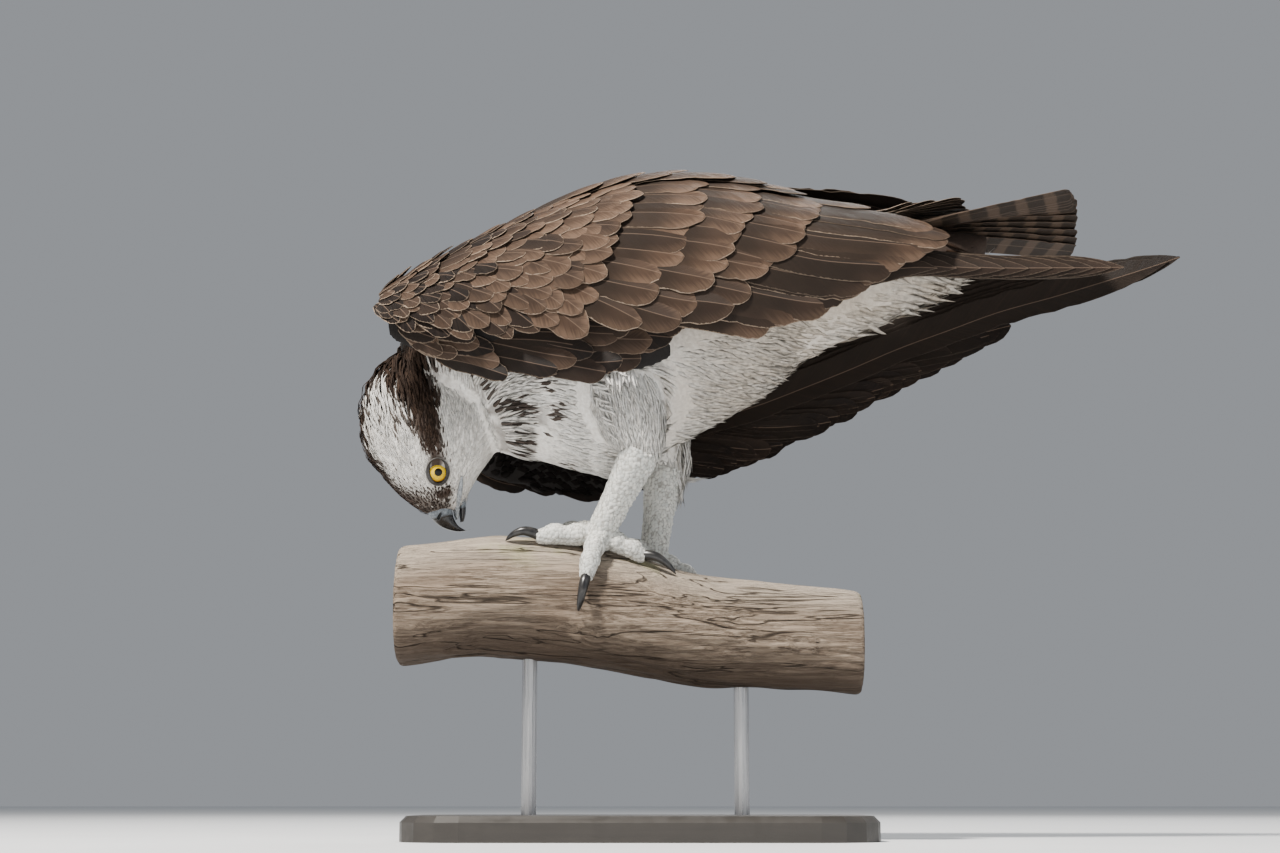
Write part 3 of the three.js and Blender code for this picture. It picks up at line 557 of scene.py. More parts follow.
def closed(rings):
    """Points and faces of a skin over rings, shut by a fan at each end."""
    count, sides = rings.shape[:2]
    points = np.concatenate([rings.reshape(-1, 3), rings[0].mean(0)[None], rings[-1].mean(0)[None]])
    faces = ring_faces(numbered_grid(count, sides)).tolist()
    for k in range(sides):
        faces.append((count * sides, (k + 1) % sides, k))
        last = (count - 1) * sides
        faces.append((count * sides + 1, last + k, last + (k + 1) % sides))
    return points, faces


skin_depth = {"torso": 4.0, "neck": 3.0, "head": 2.0, "thigh": 3.5, "wing": 1.5}
shells = [closed(torso_rings(skin_depth["torso"])), closed(neck_rings(skin_depth["neck"]))]
shells.append(closed(head_rings(skin_depth["head"])))
shells += [closed(thigh_rings(leg, skin_depth["thigh"])) for leg in legs.values()]
for side in wing_rows:
    shells.append(closed(wing_core(side, -170, 60, (0.0, 0.76), thick=15, drop=0)))
    shells.append(closed(wing_core(side, -168, 22, (0.75, 1.0), thick=8, drop=hand_drop)))


def one_skin(shells, voxel, smoothing):
    """Fuses overlapping shells into one smooth skin of triangles no coarser than the voxel."""
    points, faces = [], []
    for shell_points, shell_faces in shells:
        first = sum(len(block) for block in points)
        points.append(shell_points)
        faces += [tuple(first + index for index in face) for face in shell_faces]
    raw = bpy.data.meshes.new("raw_skin")
    raw.from_pydata(np.concatenate(points).tolist(), [], faces)
    body = bpy.data.objects.new("raw_skin", raw)
    bpy.context.scene.collection.objects.link(body)
    remesh = body.modifiers.new("one_skin", "REMESH")
    remesh.mode = "VOXEL"
    remesh.voxel_size = voxel
    soften = body.modifiers.new("soften", "SMOOTH")
    soften.factor = 0.5
    soften.iterations = smoothing
    fused = bpy.data.meshes.new_from_object(body.evaluated_get(bpy.context.evaluated_depsgraph_get()))
    bpy.data.objects.remove(body)
    fused_points = np.empty(len(fused.vertices) * 3)
    fused.vertices.foreach_get("co", fused_points)
    fused.calc_loop_triangles()
    triangles = np.empty(len(fused.loop_triangles) * 3, dtype=np.int64)
    fused.loop_triangles.foreach_get("vertices", triangles)
    return fused_points.reshape(-1, 3), triangles.reshape(-1, 3)


def normals_of(points, triangles):
    """Area of each triangle and the smooth normal at each point."""
    first, second, third = points[triangles].transpose(1, 0, 2)
    crossed = np.cross(second - first, third - first)
    normals = np.zeros_like(points)
    for corner in range(3):
        np.add.at(normals, triangles[:, corner], crossed)
    return np.linalg.norm(crossed, axis=1) / 2, normals / np.linalg.norm(normals, axis=1, keepdims=True)


skin_points, skin_triangles = one_skin(shells, voxel=2.2, smoothing=7)

trunk, neck, head, left_thigh, right_thigh, arm = range(6)


def level(z, top, bottom):
    """How high a point lies in a section: 1 at its top, 0 in its middle, -1 at its bottom."""
    return (z - (top + bottom) / 2) / ((top - bottom) / 2)


def torso_share(points):
    """How far out a point lies from the trunk's middle line, 1 being on its surface, and its level."""
    top, bottom, half = torso_curve(points[:, 0])
    high = level(points[:, 2], top, bottom)
    return np.hypot(points[:, 1] / half, high), high


def body_part(points):
    """Which part of the body each point of the skin is on."""
    part = np.full(len(points), trunk)
    x, y, z = points.T
    share, high = torso_share(points)
    part[(share > 1.06) & (x > -175)] = arm
    a, u, s = head_measures(points).T
    part[(x < -84) & (z < 330) & (np.abs(y) < 52) & (a < -30)] = neck
    crown, throat, half = head_curve(a)
    head_share = np.hypot(s / half, level(u, crown, throat))
    part[(a > -66) & (head_share < 1.12) & (z < 312)] = head
    for number, leg in ((left_thigh, legs["left"]), (right_thigh, legs["right"])):
        down = np.clip((thigh_top + leg["lift"] - z) / (thigh_top - thigh_foot), 0, 1)
        thigh_x, thigh_z, long, wide = thigh_curve(down)
        inside = np.hypot((x - thigh_x - leg["shift"]) / long, (y - leg["sign"] * thigh_out) / wide)
        part[(inside < 1.15) & (share > 0.97) & (z < 300)] = number
    return part


def on_thigh(part):
    return (part == left_thigh) | (part == right_thigh)


def step(value, low, high):
    """Passes smoothly from 0 to 1 while the value goes from low to high."""
    s = np.clip((value - low) / (high - low), 0, 1)
    return s * s * (3 - 2 * s)


white_coat, cream_coat = np.array([0.88, 0.86, 0.82]), np.array([0.60, 0.50, 0.38])
brown_coat, dark_coat = np.array([0.058, 0.036, 0.025]), np.array([0.012, 0.009, 0.008])


def head_dark(points):
    """Share of dark feathers on the head: eye band, lores, crown line, streaks, face, nape and collar."""
    a, u, s = head_measures(points).T
    uneven = 3.4 * rough_at(points, 5, 21) + 1.6 * rough_at(points, 2.2, 26)
    middle_of_band = 0.5 - 0.02 * a + 0.0022 * np.minimum(a, 0) ** 2
    half_band = 4.6 + 0.20 * np.maximum(0, -a) + 0.1 * np.maximum(0, a)
    band = 1 - step(np.abs(u - middle_of_band) + uneven, half_band - 3.0, half_band + 3.5)
    band *= step(np.abs(s), 5, 9) * (1 - step(a, 19, 25))
    crown_line = (1 - step(np.abs(s) + uneven, 5.5, 13)) * step(u, 4, 12)
    streaks = 0.42 * step(rough_at(np.stack([a / 2.4, u, s], -1), 3.2, 28), 0.0, 0.7) * step(u, 4, 16)
    nape = step(-a + 0.45 * u + 1.6 * uneven, 52, 70) * step(u, -24, -6)
    face = step(a + 0.5 * u + uneven, 12, 25) * step(u + 0.3 * a, -2, 7) * 0.92
    lores = step(a, 10, 20) * (1 - step(np.abs(u - 2) + uneven, 4, 9)) * 0.75
    pale_ring = np.exp(-(((np.hypot(a - 1.6, u - 1) - 11.4) / 1.5) ** 2)) * step(u + 0.8 * a, -6, 6)
    mottled = 0.6 * step(-a + 2 * uneven, 38, 56) * step(rough_at(points, 7, 36), -0.3, 0.3)
    collar = 0.92 * step(points[:, 2] - 0.3 * points[:, 0] + 2.5 * uneven, 330, 350) * (1 - step(u, 2, 8))
    dark = np.maximum.reduce([band, crown_line, streaks, nape, face, lores, mottled, collar])
    return np.clip(dark * (1 - 0.75 * pale_ring), 0, 1)


under_wing_dark_and_shade = 1.6  # past 1 a share of dark paints the feathers under the wings near black: dark feathers and painted shade under the wing
dark_and_shade_from = 1.1
tail_root = (186, 374)  # along and up, where the dark feathers over the tail begin
bill_root = 26.5  # ahead of the eyes


def markings(points, part):
    """Share of dark brown at each point: the same on the skin and on the coat."""
    share, high = torso_share(points)
    x, y, z = points.T
    uneven = rough_at(points, 17, 22)
    dark = step(high + 0.12 * uneven, 0.05, 0.30)
    ahead = -x + 9 * uneven
    breast = step(ahead, 52, 66) * (1 - step(ahead, 118, 132)) * (1 - step(high, -0.2, 0.1))
    dark = np.maximum(dark, 0.62 * breast * step(rough_at(points, 9, 23), -0.25, 0.45))
    dark = np.where(x > 168, step(high, 0.2, 0.6), dark)
    dark = np.where((x > tail_root[0]) & (z > tail_root[1]), 1.0, dark)
    nape = step(z - 0.3 * x + 8 * uneven, 332, 348)
    throat = 0.6 * step(x + 8 * uneven, -140, -120) * step(rough_at(points, 8, 24), -0.15, 0.4)
    behind_head = 0.95 * step(head_measures(points)[:, 1] + 5 * uneven, -14, 0)
    neck_dark = np.maximum.reduce([nape, throat, behind_head])
    dark = np.where((part == neck) | ((part == trunk) & (x < -106)), neck_dark, dark)
    dark = np.where(part == head, head_dark(points), dark)
    dark = np.where(on_thigh(part), 0.0, dark)
    # The arms under the wings are painted near black: dark feathers and painted shade from the wing above.
    return np.where(part == arm, under_wing_dark_and_shade, dark)


def on_unwrap(points, part):
    """Where points go on the flat sheet: each part is unrolled round its own axis into its own strip."""
    x, y, z = points.T
    a, u, s = head_measures(points).T
    share, high = torso_share(points)

    def round_axis(across, up):
        return np.arctan2(across, up) / (2 * math.pi) + 0.5

    strips = {
        trunk: (0.01 + 0.60 * (x + 180) / 420, 0.01 + 0.46 * round_axis(y, high * 45)),
        neck: (0.40 + 0.18 * (x + 190) / 120, 0.50 + 0.48 * round_axis(y, z - 300)),
        head: (0.01 + 0.36 * (a + 95) / 130, 0.50 + 0.48 * round_axis(s, u + 9)),
        arm: (0.82 + 0.17 * (x + 180) / 250, np.where(y < 0, 0.02, 0.52) + 0.44 * (z - 220) / 230),
    }
    for number, leg, low in ((left_thigh, legs["left"], 0.02), (right_thigh, legs["right"], 0.52)):
        turn = round_axis(y - leg["sign"] * thigh_out, x - leg["shift"])
        strips[number] = (0.66 + 0.14 * (z - 230) / 90, low + 0.44 * turn)
    flat = np.select([(part == number)[:, None] for number in strips],
                     [np.stack(place, -1) for place in strips.values()])
    return np.clip(flat, 0.002, 0.998)


def coat_colours(dark, chance_of_each):
    """Colour of feathers by their share of dark and a chance from 0 to 1 for each of them."""
    pale = white_coat + (cream_coat - white_coat) * (0.25 * chance_of_each**3)[:, None]
    deep = brown_coat + (dark_coat - brown_coat) * (0.7 * chance_of_each)[:, None]
    # Past that share a feather is painted near black, darker than the dark coat: its own dark colour and
    # painted shade under the wing.
    deep = np.where(dark[:, None] > dark_and_shade_from, dark_coat * 0.7, deep)
    return pale + (deep - pale) * np.clip(dark, 0, 1)[:, None]


def belly_painted_shade(points, part):
    """Painted shade on the belly: it is made warmer and greyer towards the tail."""
    share = step(points[:, 0], -30, 70) * (part == trunk) * (0.8 + 0.2 * rough_at(points, 14, 35))
    return 1 - share[:, None] * [0.34, 0.41, 0.49]


skin_part = body_part(skin_points)
skin_colours = coat_colours(markings(skin_points, skin_part), np.full(len(skin_points), 0.3))
# The skin takes the belly's painted shade too.
skin_colours = skin_colours * belly_painted_shade(skin_points, skin_part)
soft_skin = Finish("down_over_skin", roughness=0.9)
down = soft_skin.noise(420, 5)
downy = soft_skin.between(down, 0.3, 0.7, 0.0, 0.45)
soft_skin.colour(soft_skin.blend(downy, soft_skin.attribute("coat_colour"), (0.55, 0.50, 0.46), "MULTIPLY"))
soft_skin.bump(down, 0.0008, 0.6)
piece("body_skin", skin_points, skin_triangles, soft_skin, "white_feathers",
      ["head", "neck", "torso", "thigh_left", "thigh_right"], on_unwrap(skin_points, skin_part),
      coat_colour=skin_colours)

# The small feathers: thin blades with frayed ends, rooted in the skin and lying back along the body like
# tiles. They are shortest round the bill and eyes, longer on the breast and belly, and narrow and loose on
# the thighs.
chance = np.random.default_rng(5)
triangle_areas, point_normals = normals_of(skin_points, skin_triangles)
wings_hide = {"from": -150, "to": 150, "off_middle": 13, "over_lower_edge": 14}
wing_lower = {side: through([(row[0], row[6]) for row in rows]) for side, rows in wing_rows.items()}


def under_wing(points):
    """True where a folded wing lies over the trunk, so that no small feathers show."""
    x, y, z = points.T
    low = np.where(y < 0, wing_lower["left"](x)[0], wing_lower["right"](x)[0])
    along_wing = (x < wings_hide["to"]) & (x > wings_hide["from"])
    return (z > low + wings_hide["over_lower_edge"]) & (np.abs(y) > wings_hide["off_middle"]) & along_wing


def coat_spacing(points, part):
    """How far apart the feathers are rooted, 0 where there are none."""
    a, u, s = head_measures(points).T
    x, y, z = points.T
    gap = np.select([part == head, part == neck, on_thigh(part), part == trunk, part == arm],
                    [1.15 + 0.45 * step(-a, -12, 50), 1.9, 1.7, 2.2 + 0.3 * step(x, -80, 0), 3.4], 0.0)
    round_eye = (np.hypot((a - 3) / 8.2, (u - 1) / 7.0) < 1) & (np.abs(s) > 14)
    bare_face = (part == head) & (round_eye | (a > bill_root))
    at_tail = (part == trunk) & (x > tail_root[0] + 6) & (z > tail_root[1])
    outer_arm = (part == arm) & ((y < 40) | (z > 322) | (x < -140))
    hidden = under_wing(points) & (part == trunk)
    return np.where(bare_face | at_tail | outer_arm | hidden, 0.0, gap)


def spread(parts):
    """Places and normals over the named parts of the skin, no two nearer than the spacing there."""
    middles = skin_points[skin_triangles].mean(axis=1)
    part = body_part(middles)
    spacing = np.where(np.isin(part, parts), coat_spacing(middles, part), 0.0)
    weight = np.where(spacing > 0, triangle_areas / np.maximum(spacing, 0.5) ** 2, 0.0)
    tries_per_place = 5
    count = int(tries_per_place * weight.sum())
    chosen = chance.choice(len(skin_triangles), count, p=weight / weight.sum())
    share = chance.random((count, 2))
    share = np.where(share.sum(1, keepdims=True) > 1, 1 - share, share)
    weights = np.column_stack([1 - share.sum(1), share])
    places = np.einsum("ij,ijk->ik", weights, skin_points[skin_triangles[chosen]])
    normals = np.einsum("ij,ijk->ik", weights, point_normals[skin_triangles[chosen]])
    normals /= np.linalg.norm(normals, axis=1, keepdims=True)
    spacing = spacing[chosen]
    cell = float(spacing.max())
    kept, grid = [], {}
    around_cell = [(i, j, k) for i in (-1, 0, 1) for j in (-1, 0, 1) for k in (-1, 0, 1)]
    for index, (x, y, z) in enumerate(places.tolist()):
        gap = spacing[index] ** 2
        i, j, k = int(x // cell), int(y // cell), int(z // cell)
        free = True
        for di, dj, dk in around_cell:
            for ox, oy, oz in grid.get((i + di, j + dj, k + dk), ()):
                if (ox - x) ** 2 + (oy - y) ** 2 + (oz - z) ** 2 < gap:
                    free = False
                    break
            if not free:
                break
        if free:
            grid.setdefault((i, j, k), []).append((x, y, z))
            kept.append(index)
    return places[kept], normals[kept]


def lie_of_coat(points, part):
    """The way the feathers point at each place, before it is laid flat on the skin."""
    x, y, z = points.T
    back = step(x, -125, -60)[:, None]
    way = np.array([0.5, 0, 0.86]) * (1 - back) + np.array([1.0, 0, -0.06]) * back
    way[:, 2] -= 0.25 * step(-z + 0.3 * x, -330, -260)
    a, u, s = head_measures(points).T
    from_bill = np.stack([a - 46, u * 0.55, s * 0.55], -1)
    head_way = (from_bill / np.linalg.norm(from_bill, axis=1, keepdims=True)) @ head_frame
    way = np.where((part == head)[:, None], head_way, way)
    near_head = ((part == neck) * (1 - step(x, -140, -110)))[:, None]
    way = way * (1 - near_head) + head_way * near_head
    return np.where(on_thigh(part)[:, None], np.array([0.22, 0, -1.0]), way)


def tuft_sizes(points, part):
    """Length, width and lift of the feather at each place, in millimetres."""
    x, y, z = points.T
    a, u, s = head_measures(points).T
    length = 17 + 4 * step(x, -110, 0) + 8 * step(x, 90, 170)
    width = 2.7 + 0.8 * step(x, -110, 0) + 1.2 * step(x, 90, 170)
    lift = np.full(len(points), 1.1)
    back_of_head = step(-a, -8, 58)
    on_head = part == head
    length = np.where(on_head, 5.0 + 9.5 * back_of_head, length)
    width = np.where(on_head, 1.0 + 0.6 * back_of_head, width)
    lift = np.where(on_head, 0.7 + 1.1 * back_of_head, lift)
    nape = step(-a, 26, 56) * step(u, -20, 4) * on_head
    length = length + 9 * nape
    crest = step(u, 6, 14) * step(-a, -6, 20) * on_head
    length = length + 3 * crest
    lift = lift + 3.6 * crest * step(rough_at(points, 4, 33), -0.2, 0.6)
    lift = lift + 9.0 * nape * (0.35 + 0.65 * step(rough_at(points, 5, 27), -0.3, 0.5))
    on_neck = part == neck
    length = np.where(on_neck, 15.0, length)
    width = np.where(on_neck, 2.2, width)
    lift = np.where(on_neck, 1.9, lift)
    length = np.where(part == arm, 11.0, length)
    width = np.where(part == arm, 5.0, width)
    thigh = on_thigh(part)
    low_thigh = 1 - step(z, 246, 285)
    behind = step(x - 10, -8, 22)
    length = np.where(thigh, 15 - 5 * low_thigh + 7 * behind + 7 * low_thigh * (part == right_thigh), length)
    width = np.where(thigh, 2.0 - 0.5 * low_thigh, width)
    loose = step(rough_at(points, 6, 29), -0.2, 0.6)
    lift = np.where(thigh, 1.5 + (1.5 + 6.5 * loose) * behind * (0.5 + 0.5 * low_thigh), lift)
    return length, width, lift


def tufts(name, parts, rows, outline, follow, fray):
    """Thin closed blades over some parts of the body, joined into one piece.

    Each blade has rows at shares of its length, bends to follow a body of that radius and ends in points.
    """
    roots, normals = spread(parts)
    part = body_part(roots)
    pick = chance.random(len(roots))
    dark = markings(roots, part)
    dark = np.where(dark > dark_and_shade_from, dark, 0.12 * dark + 0.88 * (dark > 0.06 + 0.88 * pick))
    # The feathers take the belly's painted shade too.
    colours = coat_colours(dark, pick) * belly_painted_shade(roots, part)
    length, width, lift = (value[:, None, None] for value in tuft_sizes(roots, part))
    count, row_count, columns = len(roots), len(rows), 3
    ways = lie_of_coat(roots, part)
    ways = ways - normals * np.sum(ways * normals, axis=1, keepdims=True)
    ways /= np.linalg.norm(ways, axis=1, keepdims=True)
    turn = chance.normal(0, 0.14, count)[:, None]
    sides = np.cross(normals, ways)
    ways, sides = ways * np.cos(turn) + sides * np.sin(turn), sides * np.cos(turn) - ways * np.sin(turn)
    length = length * chance.uniform(0.82, 1.15, (count, 1, 1))
    s = np.array(rows)[None, :, None]
    k = np.linspace(-1, 1, columns)[None, None, :]
    jag = np.zeros((count, row_count, columns))
    notch = np.where(np.arange(columns) % 2 == (columns // 2) % 2, 1.0, -1.0)
    jag[:, -1, :] = chance.uniform(-fray, fray, (count, columns)) + fray * notch
    forward = (s + jag - 0.08 * s * k**2) * length
    sway = chance.normal(0, 0.05, (count, 1, 1)) * s**2 * length
    across = k * np.array(outline)[None, :, None] * 0.5 * width + sway
    rise = -0.9 + (lift + 0.9) * np.sin(s * math.pi / 2) - 0.35 * s**2 * lift - forward**2 / (2 * follow)
    rise = rise - 0.12 * width * k**2
    top = roots[:, None, None] + forward[..., None] * ways[:, None, None]
    top = top + across[..., None] * sides[:, None, None] + rise[..., None] * normals[:, None, None]
    index = numbered_grid(row_count, columns)
    inner = index[1:-1, 1:-1].ravel()
    flat_top = top.reshape(count, index.size, 3)
    under = flat_top[:, inner] - 0.22 * normals[:, None]
    points_each = index.size + len(inner)
    below = index.ravel().copy()
    below[inner] = index.size + np.arange(len(inner))
    upper = grid_faces(index)
    one_blade = np.concatenate([upper, below[upper[:, ::-1]]])
    faces = (one_blade[None] + (np.arange(count) * points_each)[:, None, None]).reshape(-1, 4)

    def for_all(values):
        values = values.reshape(count, index.size, -1)
        return np.concatenate([values, values[:, inner]], axis=1).reshape(-1, values.shape[-1])

    points = np.concatenate([flat_top, under], axis=1).reshape(-1, 3)
    own = np.broadcast_to(chance.random((count, 1, 1)), forward.shape)
    patch = np.stack([(s - 0.5 + 0 * k) * 0.003, k * 0.0015 + 0 * s], -1)
    piece(name, points, faces, soft_feather, "white_feathers",
          unwrap=for_all(on_unwrap(roots, part)[:, None, None] + patch),
          coat_colour=np.repeat(colours, points_each, axis=0),
          lie=for_all(np.stack([forward, across, own], -1)))


soft_feather = Finish("small_feathers", roughness=0.78, Specular_IOR_Level=0.1)
lie = soft_feather.numbers("lie")
slant = soft_feather.minus(lie["X"], soft_feather.times(soft_feather.unsigned(lie["Y"]), 1.5))
barbs = soft_feather.wave(slant, 9.0)
mealy = soft_feather.between(soft_feather.noise(350, 3), 0.3, 0.7, 0.72, 1.0)
tone = soft_feather.plus(soft_feather.times(barbs, 0.10), mealy)
soft_feather.colour(soft_feather.blend(1.0, soft_feather.attribute("coat_colour"), tone, "MULTIPLY"))
soft_feather.bump(barbs, 0.00025, 0.5)
coat_groups = [
    # name, parts of the body, rows and outline of a blade, radius it follows, how much its end is frayed
    ("head_feathers", [head], (0, 0.4, 0.75, 1.0), (0.55, 1.0, 0.8, 0.12), 48.0, 0.08),
    ("neck_feathers", [neck], (0, 0.35, 0.7, 1.0), (0.5, 1.0, 0.85, 0.3), 90.0, 0.10),
    ("trunk_feathers", [trunk], (0, 0.35, 0.7, 1.0), (0.5, 1.0, 0.95, 0.5), 170.0, 0.10),
    ("thigh_feathers", [left_thigh, right_thigh], (0, 0.4, 0.75, 1.0), (0.6, 1.0, 0.8, 0.15), 260.0, 0.12),
    ("under_wing_feathers", [arm], (0, 0.35, 0.75, 1.0), (0.6, 1.0, 0.95, 0.5), 400.0, 0.04),
]
for name, parts, rows, outline, follow, fray in coat_groups:
    tufts(name, parts, rows, outline, follow, fray)

# The wings' quills and coverts: stiff flat feathers, each with a shaft and fine slanting barbs, dark brown
# with pale edges. They are rooted along the arm and the hand and lie over each other in tiers, like slates.
# A feather runs from start to end, each a place along a sheet and a share of the way across it. Sink and lift
# are how deep its root and how high its tip lie, cant tilts it, bow curves it sideways and arch crosswise.
# Rounded and sharp form its tip, lead narrows its leading vane, and at is its place on the flat sheet.
Feather = namedtuple(
    "Feather", "start end width lift at tone fringe cant sink steps bow rounded sharp arch lead",
    defaults=(0.3, 0.5, 0.0, 2.0, 16, 0.0, 1.5, 0.55, 0.055, 1.0))
# Places across a feather, from its one edge over the shaft to the other.
vane = np.array([-1, -0.93, -0.72, -0.45, -0.15, 0, 0.15, 0.45, 0.72, 0.93, 1.0])[None]


def long_feathers(name, sheet, sign, feathers, finish, stands_for=()):
    """Joins feathers laid along a curved sheet, each from a start to an end on it."""
    blocks, face_blocks, lies, tones, flats = [], [], [], [], []
    for feather in feathers:
        steps, columns = feather.steps, vane.size
        s = 1 - (1 - np.linspace(0, 1, steps)[:, None]) ** 1.5
        start, end = np.array(feather.start, float), np.array(feather.end, float)
        u = start[0] + (end[0] - start[0]) * s
        v = start[1] + (end[1] - start[1]) * s + feather.bow * np.sin(math.pi * s)
        down = sheet(u + 0.5, v) - sheet(u - 0.5, v)
        over = (sheet(u, v + 0.005) - sheet(u, v - 0.005)) * 100
        normal = np.cross(down, over)
        normal = sign * normal / np.linalg.norm(normal, axis=-1, keepdims=True)
        run = down * (end[0] - start[0]) + over * (end[1] - start[1])
        length = float(np.linalg.norm(run[:, 0], axis=-1).mean())
        run /= np.linalg.norm(run, axis=-1, keepdims=True)
        side = np.cross(normal, run)
        uu, uv, vv = (down * down).sum(-1), (down * over).sum(-1), (over * over).sum(-1)
        su, sv = (side * down).sum(-1), (side * over).sum(-1)
        area = uu * vv - uv * uv
        du, dv = (su * vv - sv * uv) / area, (sv * uu - su * uv) / area
        rounded = feather.rounded * feather.width / 2 / length
        near_tip = np.clip((s - 1 + rounded) / rounded, 0, 1)
        outline = (0.35 + 0.65 * np.minimum(1, s / 0.3) ** 0.7) * (1 - near_tip**2.2) ** feather.sharp
        outline = np.maximum(outline, 0.05)
        wear = 1 - 0.14 * (chance.random((steps, 1)) ** 5) * (s > 0.35)
        half = feather.width / 2 * outline * wear
        narrow = np.where(vane * np.sign(dv) > 0, feather.lead, 1.0)
        across = vane * half * narrow
        height = -feather.sink + (feather.lift + feather.sink) * s
        height = height + feather.cant * vane * outline * 0.5 * np.sign(dv)
        arch = feather.arch * feather.width * (1 - vane**2) * outline
        shaft = 0.32 * (1 - s) ** 0.6 * (vane == 0)
        top = sheet(u + du * across, v + dv * across)
        top = top + normal * (height + arch)[..., None]
        top = top + normal * shaft[..., None]
        under = top - normal * (0.3 + 0.5 * shaft)[..., None]
        index = numbered_grid(steps, columns)
        upper = grid_faces(index)
        rim = np.concatenate([index[0], index[1:, -1], index[-1, -2::-1], index[-2:0:-1, 0]])
        after = np.roll(rim, -1)
        strip = np.stack([rim, rim + index.size, after + index.size, after], -1)
        faces = np.concatenate([upper, upper[:, ::-1] + index.size, strip])
        face_blocks.append(faces + sum(len(block) for block in blocks))
        blocks.append(np.concatenate([top.reshape(-1, 3), under.reshape(-1, 3)]))
        to_edge = np.minimum((1 - np.abs(vane)) * half * narrow, (1 - s) * length)
        lie = np.stack([(s - 1) * length + 0 * vane, across, to_edge], -1).reshape(-1, 3)
        lies += [lie, lie]
        tone = np.array([feather.tone, feather.fringe, chance.random()])
        # Each feather's under face gets a much lower tone and a fainter fringe, so it comes out near black:
        # painted shade on the feathers' undersides.
        for face_tone in (tone, tone * [0.15, 0.2, 1]):
            tones.append(np.repeat(face_tone[None], index.size, axis=0))
        patch = np.stack([(s - 0.5) * 0.024 + 0 * vane, vane * 0.005 + 0 * s], -1).reshape(-1, 2)
        flat = np.array(feather.at) * 0.94 + 0.03 + patch
        flats += [flat, flat]
    piece(name, np.concatenate(blocks), np.concatenate(face_blocks), finish, "brown_feathers", stands_for,
          np.clip(np.concatenate(flats), 0.001, 0.999), lie=np.concatenate(lies), tone=np.concatenate(tones))


quill_brown = Finish("wing_feathers", roughness=0.55, Specular_IOR_Level=0.15)
lie, tone = quill_brown.numbers("lie"), quill_brown.numbers("tone")
off_shaft = quill_brown.unsigned(lie["Y"])
slant = quill_brown.minus(lie["X"], quill_brown.times(off_shaft, 1.35))
barbs = quill_brown.wave(slant, 7.0)
streak_side, streak_own = quill_brown.times(lie["Y"], 0.10), quill_brown.times(tone["Z"], 60.0)
streaks = quill_brown.noise(0.55, 4, quill_brown.joined(slant, streak_side, streak_own))
to_edge = quill_brown.plus(lie["Z"], quill_brown.between(streaks, 0.3, 0.7, -1.2, 1.2))
edge_width = quill_brown.between(streaks, 0.25, 0.75, 0.25, 1.25)
fringe = quill_brown.math("SUBTRACT", 1.0, quill_brown.math("DIVIDE", lie["Z"], edge_width), clamp=True)
quill_brown.colour(quill_brown.blend(tone["X"], (0.010, 0.007, 0.006), (0.092, 0.055, 0.036)))
lighter_edge = quill_brown.times(quill_brown.between(to_edge, 0.5, 8.0, 1, 0), tone["X"])
quill_brown.tint(lighter_edge, (0.185, 0.118, 0.080))
# Darker away from the tip towards the root: partly the feathers' own darker base and partly painted shade where
# the feathers above overlap them.
quill_brown.tint(quill_brown.between(lie["X"], -34, -9, 0.85, 0), (0.016, 0.011, 0.008))
quill_brown.tint(quill_brown.between(streaks, 0.4, 0.75, 0, 0.3), (0.045, 0.030, 0.022))
quill_brown.tint(quill_brown.times(quill_brown.between(fringe, 0.0, 0.6), tone["Y"]), (0.46, 0.35, 0.26))
quill_brown.tint(quill_brown.between(off_shaft, 0.15, 0.4, 0.4, 0), (0.26, 0.18, 0.13))
quill_brown.tint(quill_brown.between(barbs, -1, 1, 0, 0.2), (0.02, 0.014, 0.01))
quill_brown.rough(quill_brown.between(streaks, 0.3, 0.7, 0.48, 0.66))
quill_brown.bump(barbs, 0.00022, 0.6)
quill_brown.bump(streaks, 0.0004, 0.4)

# Tiers of feathers, front to back. Roots and tips are those of the first and the last feather, each a place
# along and a share of the wing's arc. Lift is that of the tips, tone how light and fringe how pale-edged.
Tier = namedtuple("Tier", "how_many roots tips width lift tone fringe cant sink steps loose bow_out",
                  defaults=(2.4, 2.0, 15, 1.0, 0))
arm_tiers = []
small_tiers = 12
for row in range(small_tiers):
    share = row / (small_tiers - 1)
    roots = ((-166 + 124 * share, 0.10 - 0.05 * share), (-170 + 92 * share, 0.71 - 0.03 * share))
    tips = ((-150 + 150 * share, 0.16 - 0.02 * share), (-154 + 116 * share, 0.87))
    arm_tiers.append(Tier(round(15 - 3 * share), roots, tips, width=12.5 + 10 * share, lift=2.6 + 1.6 * share,
                          tone=0.06 + 0.50 * share, fringe=0.6, steps=11, bow_out=10 * share))
wing_edge = through([
    # share of the way from the body to the wrist, then place along and share of the arc
    (0, 206, 0.28), (0.25, 194, 0.5), (0.45, 172, 0.74), (0.65, 150, 0.88), (0.82, 122, 0.945),
    (1, 84, 0.985),
])
arm_tiers += [
    Tier(12, ((-20, 0.05), (-70, 0.68)), ((44, 0.13), (0, 0.88)), 24, 3.8, 0.62, 0.7, bow_out=14),
    Tier(12, ((8, 0.05), (-58, 0.68)), ((82, 0.13), (24, 0.90)), 25, 3.4, 0.66, 0.65, bow_out=18),
    Tier(12, ((34, 0.05), (-44, 0.69)), ((126, 0.12), (50, 0.93)), 25, 2.8, 0.6, 0.6, bow_out=20, steps=20),
    Tier(17, ((52, 0.24), (-24, 0.73)), wing_edge, 21, 0.8, 0.42, 0.45, cant=3.2, sink=1.2, steps=26,
         loose=0.6),
    Tier(5, ((34, 0.04), (46, 0.26)), ((158, 0.06), (200, 0.30)), 27, 2.0, 0.5, 0.4, steps=24),
    Tier(7, ((-88, 0.05), (34, 0.05)), ((-38, 0.12), (106, 0.10)), 27, 6.0, 0.5, 0.6, sink=1.0),
    Tier(6, ((-60, 0.02), (46, 0.02)), ((-14, 0.05), (118, 0.04)), 24, 5.0, 0.5, 0.6, sink=1.0),
]
